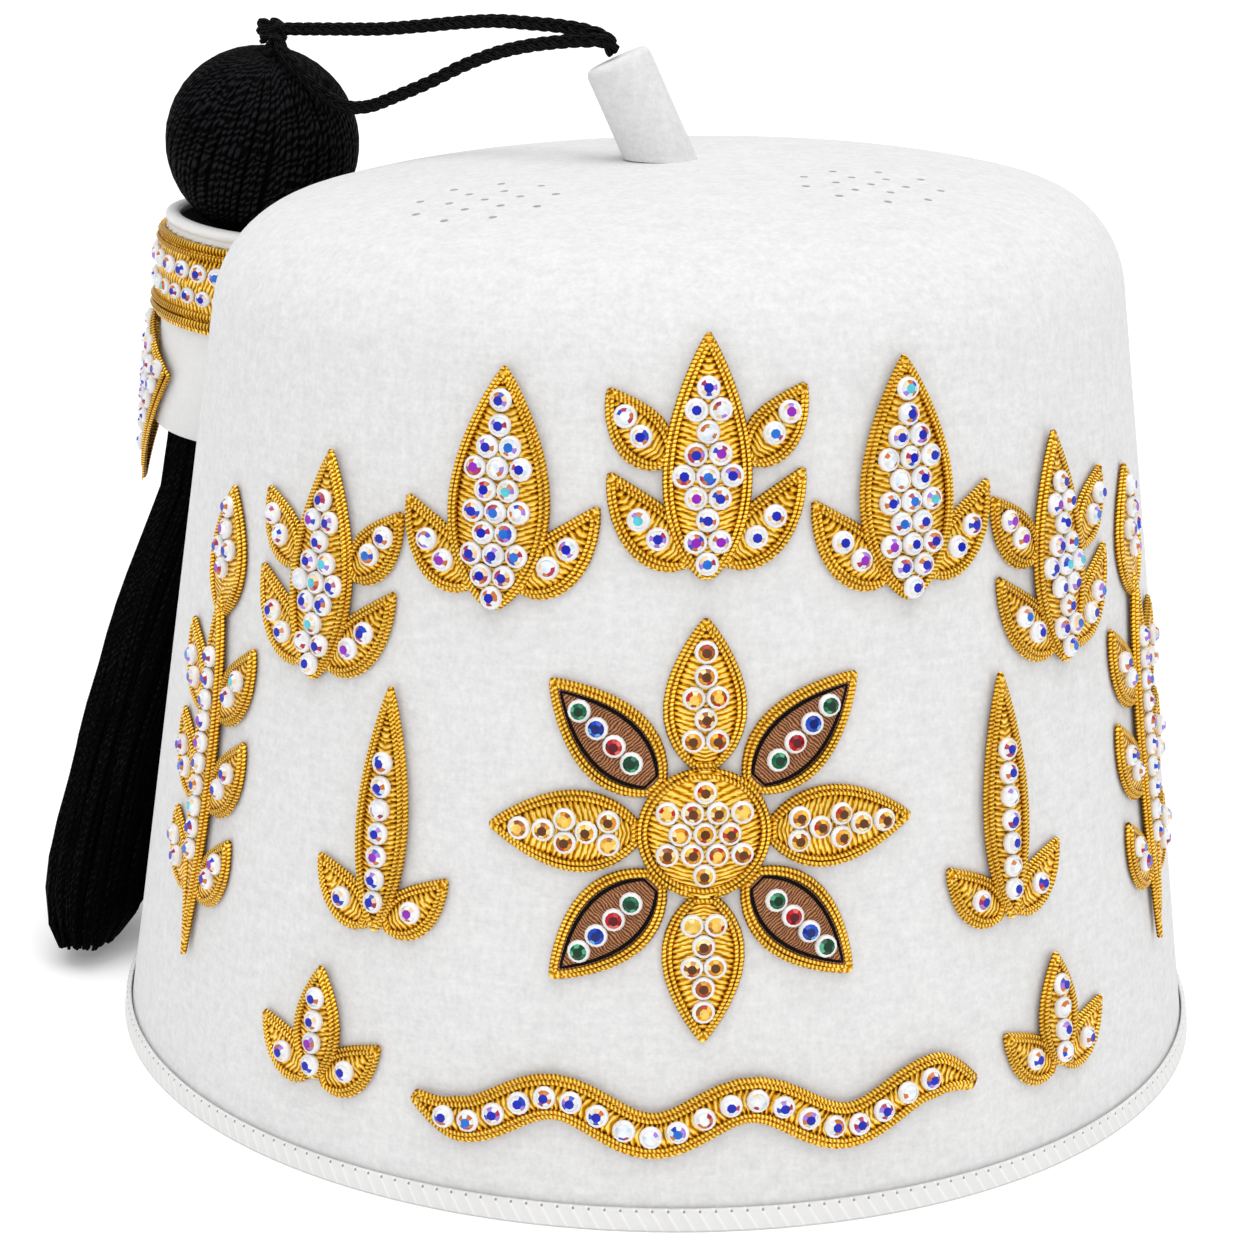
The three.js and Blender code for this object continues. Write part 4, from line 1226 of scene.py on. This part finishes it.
class StoneTray:
    """Collects the settings and crystals of one motif, then makes them pieces."""

    def __init__(self, name):
        self.name = name
        self.settings = bmesh.new()
        self.crystals = bmesh.new()
        self.spots = []

    def set_stone(self, field, share, side, kind, scale=1.0):
        """Sets a stone unless another one is in the way."""
        spot = Vector(field.point(share, side))
        if any((spot - other).length < STONE_ROOM * scale for other in self.spots):
            return
        self.spots.append(spot)
        lift = field.pad(share, side) - 0.1
        foot = field.at(share, side, lift)
        above = (field.at(share, side, lift + 1) - foot).normalized()
        wobble = Vector([random.uniform(-STONE_WOBBLE, STONE_WOBBLE) for _ in range(3)])
        above = (above + wobble).normalized()
        side_on = above.orthogonal().normalized()
        turned = Matrix((side_on, above.cross(side_on), above)).transposed().to_4x4()
        turned.translation = foot
        turned = turned @ Matrix.Rotation(random.uniform(0, math.pi), 4, "Z") @ Matrix.Scale(scale, 4)
        stamp(self.settings, setting_data, turned)
        facets = stamp(self.crystals, crystal_data, turned)
        number = self.crystals.faces.layers.float["facet"]
        for face in facets:
            table = face.normal.dot(above) > 0.95
            low, high = (0, TABLE_SHARE) if table else (TABLE_SHARE, 1)
            face[number] = random.uniform(low, high)
            face.material_index = kind

    def close(self):
        finished(self.settings, self.name + "_settings", [setting_finish], "setting")
        finished(self.crystals, self.name + "_crystals", CRYSTALS, "stone", sharp=4)
        return len(self.spots)


def stamp(bm, data, matrix):
    """Adds a copy of a mesh at a place, and returns its faces."""
    first_vertex, first_face = len(bm.verts), len(bm.faces)
    bm.from_mesh(data)
    bm.verts.ensure_lookup_table()
    bm.faces.ensure_lookup_table()
    bmesh.ops.transform(bm, matrix=matrix, verts=bm.verts[first_vertex:])
    facets = bm.faces[first_face:]
    for face in facets:
        face.normal_update()
    return facets


STONE_PITCH = 3.5
OVERHANG = 0.35
COLUMN_GAP, STAGGERED_GAP = 0.96, 0.88


def stone_rows(field, pitch=STONE_PITCH, margin=1.5):
    """Where stones go: rows across the field, each staggered against the one before."""

    def room(share):
        return field.half(share) - margin - SETTING_RADIUS + OVERHANG

    spacing = COLUMN_GAP * pitch
    spots = []
    last_share, last_columns = -1, 0
    steps = round(field.length / 0.1)
    for step in range(steps + 1):
        share = step / steps
        if room(share) < 0:
            continue
        columns = int(2 * room(share) / spacing) + 1
        if columns > 1 and (columns - last_columns) % 2 == 0:
            columns -= 1
        staggered = (columns - last_columns) % 2 == 1
        if (share - last_share) * field.length < (STAGGERED_GAP if staggered else 1) * pitch:
            continue
        spots.extend((share, (column - (columns - 1) / 2) * spacing) for column in range(columns))
        last_share, last_columns = share, columns
    return spots


print("stones can be set")

# %% [markdown]
# ## The leaf motifs
# The front carries a design of plain leaves: five motifs in an arch, a long spray at each end,
# lancet leaves beside the middle and small sprigs low down. A leaf is a middle line with a bend and
# a width that swells and tapers. The same table and formulas made the solids, so each dressed leaf
# lies on its own. Pairs mirror one another, and the first leaf of a motif lies over the rest.

# %% The leaves of each kind of motif
Leaf = namedtuple("Leaf", "u v heading length width bend")
LEAF_BLUNTNESS = 0.08
DESIGN_CENTRE = -4.5
UPPER_RISE = 0.4


def pair(leaf):
    return [leaf, leaf._replace(u=-leaf.u, heading=-leaf.heading, bend=-leaf.bend)]


PALMETTE = [
    Leaf(0, -17, 0, 35, 12.6, 0),
    *pair(Leaf(2, -14.5, 62, 16.5, 8.4, -0.36)),
    *pair(Leaf(5.2, -0.5, 50, 13.5, 8, -0.2)),
]
BUD = [Leaf(0, -17, 0, 35, 15.4, 0), *pair(Leaf(3, -13.6, 66, 15.5, 8.4, -0.42))]
SPRAY = [
    Leaf(0, 24, 180, 62, 7.6, 0),
    Leaf(0, 20, 0, 21, 12, 0),
    *pair(Leaf(2.6, 4, 44, 15.5, 8.6, -0.2)),
    *pair(Leaf(2.6, -11, 44, 15.5, 8.6, -0.2)),
    *pair(Leaf(2.2, -26, 44, 14, 8, -0.2)),
]
LANCET = [Leaf(0, -16, 0, 38, 9, 0), *pair(Leaf(1, -15, 66, 13, 7.6, -0.3))]
SPRIG = [Leaf(0, -7, 0, 18, 9, 0), *pair(Leaf(1, -7, 70, 12.5, 7.6, -0.3))]
MOTIFS = [
    ("arch_motif_1", 43.5, 92.5, PALMETTE),
    ("arch_motif_2", 22, 107, BUD),
    ("arch_motif_3", 0, 112, PALMETTE),
    ("arch_motif_4", -22, 107, BUD),
    ("arch_motif_5", -43.5, 92.5, PALMETTE),
    ("spray_left", 61.5, 60, SPRAY),
    ("spray_right", -61.5, 60, SPRAY),
    ("lancet_left", 33, 56, LANCET),
    ("lancet_right", -33, 56, LANCET),
    ("sprig_left", 39, 22, SPRIG),
    ("sprig_right", -39, 22, SPRIG),
]


def leaf_half(leaf, share):
    belly = math.sin(math.pi * min(max(share, 0), 1) ** 0.78)
    return leaf.width / 2 * max(max(belly, 0) ** 0.8, LEAF_BLUNTNESS)


def leaf_point(leaf, share, side):
    """A point of a leaf on the flat pattern: u to the right, v up."""
    slope = 2 * leaf.bend * share
    shorten = 1 / math.hypot(1, slope)
    forward = leaf.length * share - side * slope * shorten
    across = leaf.bend * leaf.length * share * share + side * shorten
    heading = math.radians(leaf.heading)
    return (
        leaf.u + forward * math.sin(heading) + across * math.cos(heading),
        leaf.v + forward * math.cos(heading) - across * math.sin(heading),
    )


def on_wall(bearing, height):
    """The function that lays the flat pattern on the wall round one middle."""

    def lay(u, v, lift):
        level = height + v * math.cos(WALL_LEAN)
        turned = DESIGN_CENTRE + bearing - math.degrees(u / (RIM_RADIUS - FLARE * level))
        return wall_point(turned, level, lift)

    return lay


def leaf_field(leaf, lay, rise):
    return Field(
        lay,
        leaf.length,
        lambda share, side: leaf_point(leaf, share, side),
        lambda share: leaf_half(leaf, share),
        rise,
    )


def under_leaf(spot, leaf, clearance):
    """Whether a place on the flat pattern lies under a straight leaf."""
    u, v = spot[0] - leaf.u, spot[1] - leaf.v
    heading = math.radians(leaf.heading)
    along = u * math.sin(heading) + v * math.cos(heading)
    across = u * math.cos(heading) - v * math.sin(heading)
    share = along / leaf.length
    return -0.03 < share < 1.03 and abs(across) < leaf_half(leaf, share) + clearance


print("motifs on the wall:", len(MOTIFS))

# %% Dressing the leaf motifs
CLEARANCE = 1.5
random.seed(23)
stones_set = 0
for name, bearing, height, leaves in MOTIFS:
    lay = on_wall(bearing, height)
    gold = bmesh.new()
    tray = StoneTray(name)
    for index, leaf in enumerate(leaves):
        field = leaf_field(leaf, lay, 0.0 if index else UPPER_RISE)
        add_field(gold, field)
        for share, side in stone_rows(field):
            hidden = index > 0 and under_leaf(field.point(share, side), leaves[0], CLEARANCE)
            if not hidden:
                tray.set_stone(field, share, side, RAINBOW)
    finish_gold(gold, name, name)
    stones_set += tray.close()
print("stones on the leaves:", stones_set)

# %% [markdown]
# ## The medallion and the garland
# The middle is a rosette of eight petals round a boss. Petals of amber stones take turns with petals
# of brown satin stitch, which have a black line inside the purl and coloured stones on the midrib.
# Below it runs a waved strip with one row of stones.

# %% Dressing the medallion
PETAL_HUB, PETAL_LENGTH, PETAL_WIDTH = 8.7, 22.4, 12
BOSS_RADIUS = 9.6
BOSS_RUNS = [(0.42, 1.05), (1.22, 1.4)]
BOSS_ROW_GAP = 3.03
BOSS_MARGIN = 1.6
RING_STEPS = 56
MIDRIB_SHARES = [0.26 + 0.155 * row for row in range(4)]
JEWELS = [GREEN, RED, BLUE]
medallion_lay = on_wall(0, 59)
medallion = bmesh.new()
medallion_tray = StoneTray("medallion")
random.seed(31)
for petal in range(8):
    heading = 45 * petal
    turn = math.radians(heading)
    foot = (PETAL_HUB * math.sin(turn), PETAL_HUB * math.cos(turn))
    leaf = Leaf(*foot, heading, PETAL_LENGTH, PETAL_WIDTH, 0)
    field = leaf_field(leaf, medallion_lay, 0.0)
    plain = petal % 2 == 0
    add_field(medallion, field, satin=not plain)
    rows = stone_rows(field) if plain else [(share, 0) for share in MIDRIB_SHARES]
    for row, (share, side) in enumerate(rows):
        if math.hypot(*field.point(share, side)) > BOSS_RADIUS + BOSS_MARGIN:
            medallion_tray.set_stone(field, share, side, AMBER if plain else JEWELS[row % 3])


def boss_half(share):
    return max(BOSS_RADIUS * math.sqrt(max(1 - (2 * share - 1) ** 2, 0)), 1)


boss_leaf = Leaf(0, -BOSS_RADIUS, 0, 2 * BOSS_RADIUS, 0, 0)
boss = Field(
    medallion_lay,
    2 * BOSS_RADIUS,
    lambda share, side: leaf_point(boss_leaf, share, side),
    boss_half,
    UPPER_RISE,
)
add_ground(medallion, boss)


def add_ring(bm, lay, radius, lift, thickness):
    """A round run of purl about the middle of a pattern."""
    turns = [2 * math.pi * i / RING_STEPS for i in range(RING_STEPS)]
    line = [lay(radius * math.sin(turn), radius * math.cos(turn), lift) for turn in turns]
    above = (lay(0, 0, 1) - lay(0, 0, 0)).normalized()
    tube(bm, line, thickness, lambda point: above, closed=True, finish=PURL)


for inset, lift in BOSS_RUNS:
    add_ring(medallion, medallion_lay, BOSS_RADIUS - inset, lift, PURL_RADIUS)
for row in range(-2, 3):
    for column in range(-2, 3):
        u = STONE_PITCH * (column + 0.5 * (row % 2))
        v = BOSS_ROW_GAP * row
        if math.hypot(u, v) < BOSS_RADIUS - 2 * BOSS_MARGIN:
            medallion_tray.set_stone(boss, (v + BOSS_RADIUS) / (2 * BOSS_RADIUS), u, AMBER)
finish_gold(medallion, "medallion", "medallion")
print("stones on the medallion:", medallion_tray.close())

# %% Dressing the garland
GARLAND_REACH = 43
GARLAND_WIDTH = 6.8
GARLAND_PITCH = 3.75
WAVE_HEIGHT = 2.6
WAVES = 3


def garland_point(share, side):
    phase = 2 * math.pi * WAVES * (share - 0.5)
    u = GARLAND_REACH * (2 * share - 1)
    slope = WAVE_HEIGHT * math.cos(phase) * math.pi * WAVES / GARLAND_REACH
    shorten = 1 / math.hypot(1, slope)
    return u + side * slope * shorten, WAVE_HEIGHT * math.sin(phase) - side * shorten


def garland_half(share):
    ends = min(share, 1 - share)
    return GARLAND_WIDTH / 2 * min(1, 0.3 + 9 * ends)


garland_field = Field(on_wall(0, 17), 2 * GARLAND_REACH, garland_point, garland_half, UPPER_RISE)
garland = bmesh.new()
garland_tray = StoneTray("garland")
add_field(garland, garland_field)
for share, side in stone_rows(garland_field, pitch=GARLAND_PITCH):
    garland_tray.set_stone(garland_field, share, side, RAINBOW)
finish_gold(garland, "garland", "garland")
print("stones on the garland:", garland_tray.close())

# %% [markdown]
# ## The sleeve's band and badge
# The sleeve wears the same gold work: a band with two rows of stones between runs of piping, and a
# kite-shaped badge below it, bent round the leather. The pattern is laid on a cylinder now, so only
# the function that lays it changes.

# %% The band
BAND_TOP = 36.4
BAND_BOTTOM = 21.6
BAND_RADIUS = CUFF_RADIUS + GAP + 0.9
BAND_STEPS = 96
Piping = namedtuple("Piping", "height radius stand")
PIPINGS = [
    Piping(36.2, 0.78, -0.35),
    Piping(34.8, 0.48, 0.2),
    Piping(24.0, 0.7, 0.3),
    Piping(22.3, 0.8, 0.2),
]
BandRow = namedtuple("BandRow", "height stones shift scale")
BAND_ROWS = [BandRow(31.7, 29, 0, 1.0), BandRow(27.2, 33, 0.5, 0.88)]


def on_band(u, v, lift):
    return TASSEL @ polar(BAND_RADIUS - PAD_CREST + lift, u / BAND_RADIUS, v)


band = bmesh.new()
band_height = BAND_TOP - BAND_BOTTOM
band_round = 2 * math.pi * BAND_RADIUS


def band_ground(share, part):
    return on_band(band_round * share, BAND_TOP - band_height * part, PAD_CREST)


def band_texture(share, part):
    return band_round * share, band_height * min(part, 1 - part)


band_faces = patch(band, BAND_STEPS, 4, band_ground, band_texture)
bmesh.ops.solidify(band, geom=band_faces, thickness=0.8)
turns = [2 * math.pi * i / BAND_STEPS for i in range(BAND_STEPS)]
for piping in PIPINGS:
    lift = PAD_CREST + piping.stand
    line = [on_band(BAND_RADIUS * turn, piping.height, lift) for turn in turns]
    tube(band, line, piping.radius, lambda point: tassel_up, closed=True, finish=PURL)
finish_gold(band, "sleeve_band", "cuff_band")

random.seed(41)
band_tray = StoneTray("sleeve_band")
band_field = Field(
    on_band,
    band_round,
    lambda share, side: (band_round * share, side),
    lambda share: 100,
)
for row in BAND_ROWS:
    for stone in range(row.stones):
        share = (stone + row.shift) / row.stones
        band_tray.set_stone(band_field, share, row.height, RAINBOW, row.scale)
print("stones on the band:", band_tray.close())

# %% The kite-shaped badge
KITE_TOP, KITE_SHOULDER, KITE_BOTTOM = 20.4, 11, -13.6
KITE_HALF_WIDTH, KITE_TIP = 15, 0.8
KITE_TURN = math.radians(35)
KITE_BACK = CUFF_RADIUS + 2 * GAP
KITE_FACE = KITE_BACK + 1.5
KITE_REACH = KITE_TOP - KITE_BOTTOM
KITE_SPLIT = (KITE_TOP - KITE_SHOULDER) / KITE_REACH
KITE_EDGE_REACH = 9.5
KITE_STEP = 1.6
KITE_PITCH, KITE_STONE_SCALE = 3.8, 1.05


def on_sleeve(u, v, lift):
    return TASSEL @ polar(KITE_BACK + lift, u / KITE_FACE + KITE_TURN, v)


def kite_half(share):
    spread = share / KITE_SPLIT if share < KITE_SPLIT else (1 - share) / (1 - KITE_SPLIT)
    return max(KITE_HALF_WIDTH * spread, KITE_TIP)


def away_from_sleeve(point):
    reach = point - tassel_foot
    return (reach - tassel_up * reach.dot(tassel_up)).normalized()


kite_field = Field(
    on_sleeve,
    KITE_REACH,
    lambda share, side: (-side, KITE_TOP - KITE_REACH * share),
    kite_half,
)
kite = bmesh.new()
kite_tray = StoneTray("kite_badge")
add_ground(kite, kite_field)
near_side = [(KITE_TIP, KITE_TOP), (KITE_HALF_WIDTH, KITE_SHOULDER), (KITE_TIP, KITE_BOTTOM)]
corners = near_side + [(-u, v) for u, v in reversed(near_side)]
for inset, lift in PURL_RUNS:
    shrink = 1 - inset / KITE_EDGE_REACH
    flat = []
    for (u1, v1), (u2, v2) in zip(corners, corners[1:] + corners[:1]):
        steps = max(round(math.hypot(u2 - u1, v2 - v1) / KITE_STEP), 1)
        for i in range(steps):
            u, v = u1 + (u2 - u1) * i / steps, v1 + (v2 - v1) * i / steps
            flat.append((u * shrink, KITE_SHOULDER + (v - KITE_SHOULDER) * shrink))
    line = [on_sleeve(u, v, lift) for u, v in flat]
    tube(kite, line, PURL_RADIUS, away_from_sleeve, closed=True, finish=PURL)
for share, side in stone_rows(kite_field, pitch=KITE_PITCH, margin=2.0):
    kite_tray.set_stone(kite_field, share, side, RAINBOW, KITE_STONE_SCALE)
finish_gold(kite, "kite_badge", "kite_badge")
print("stones on the badge:", kite_tray.close())
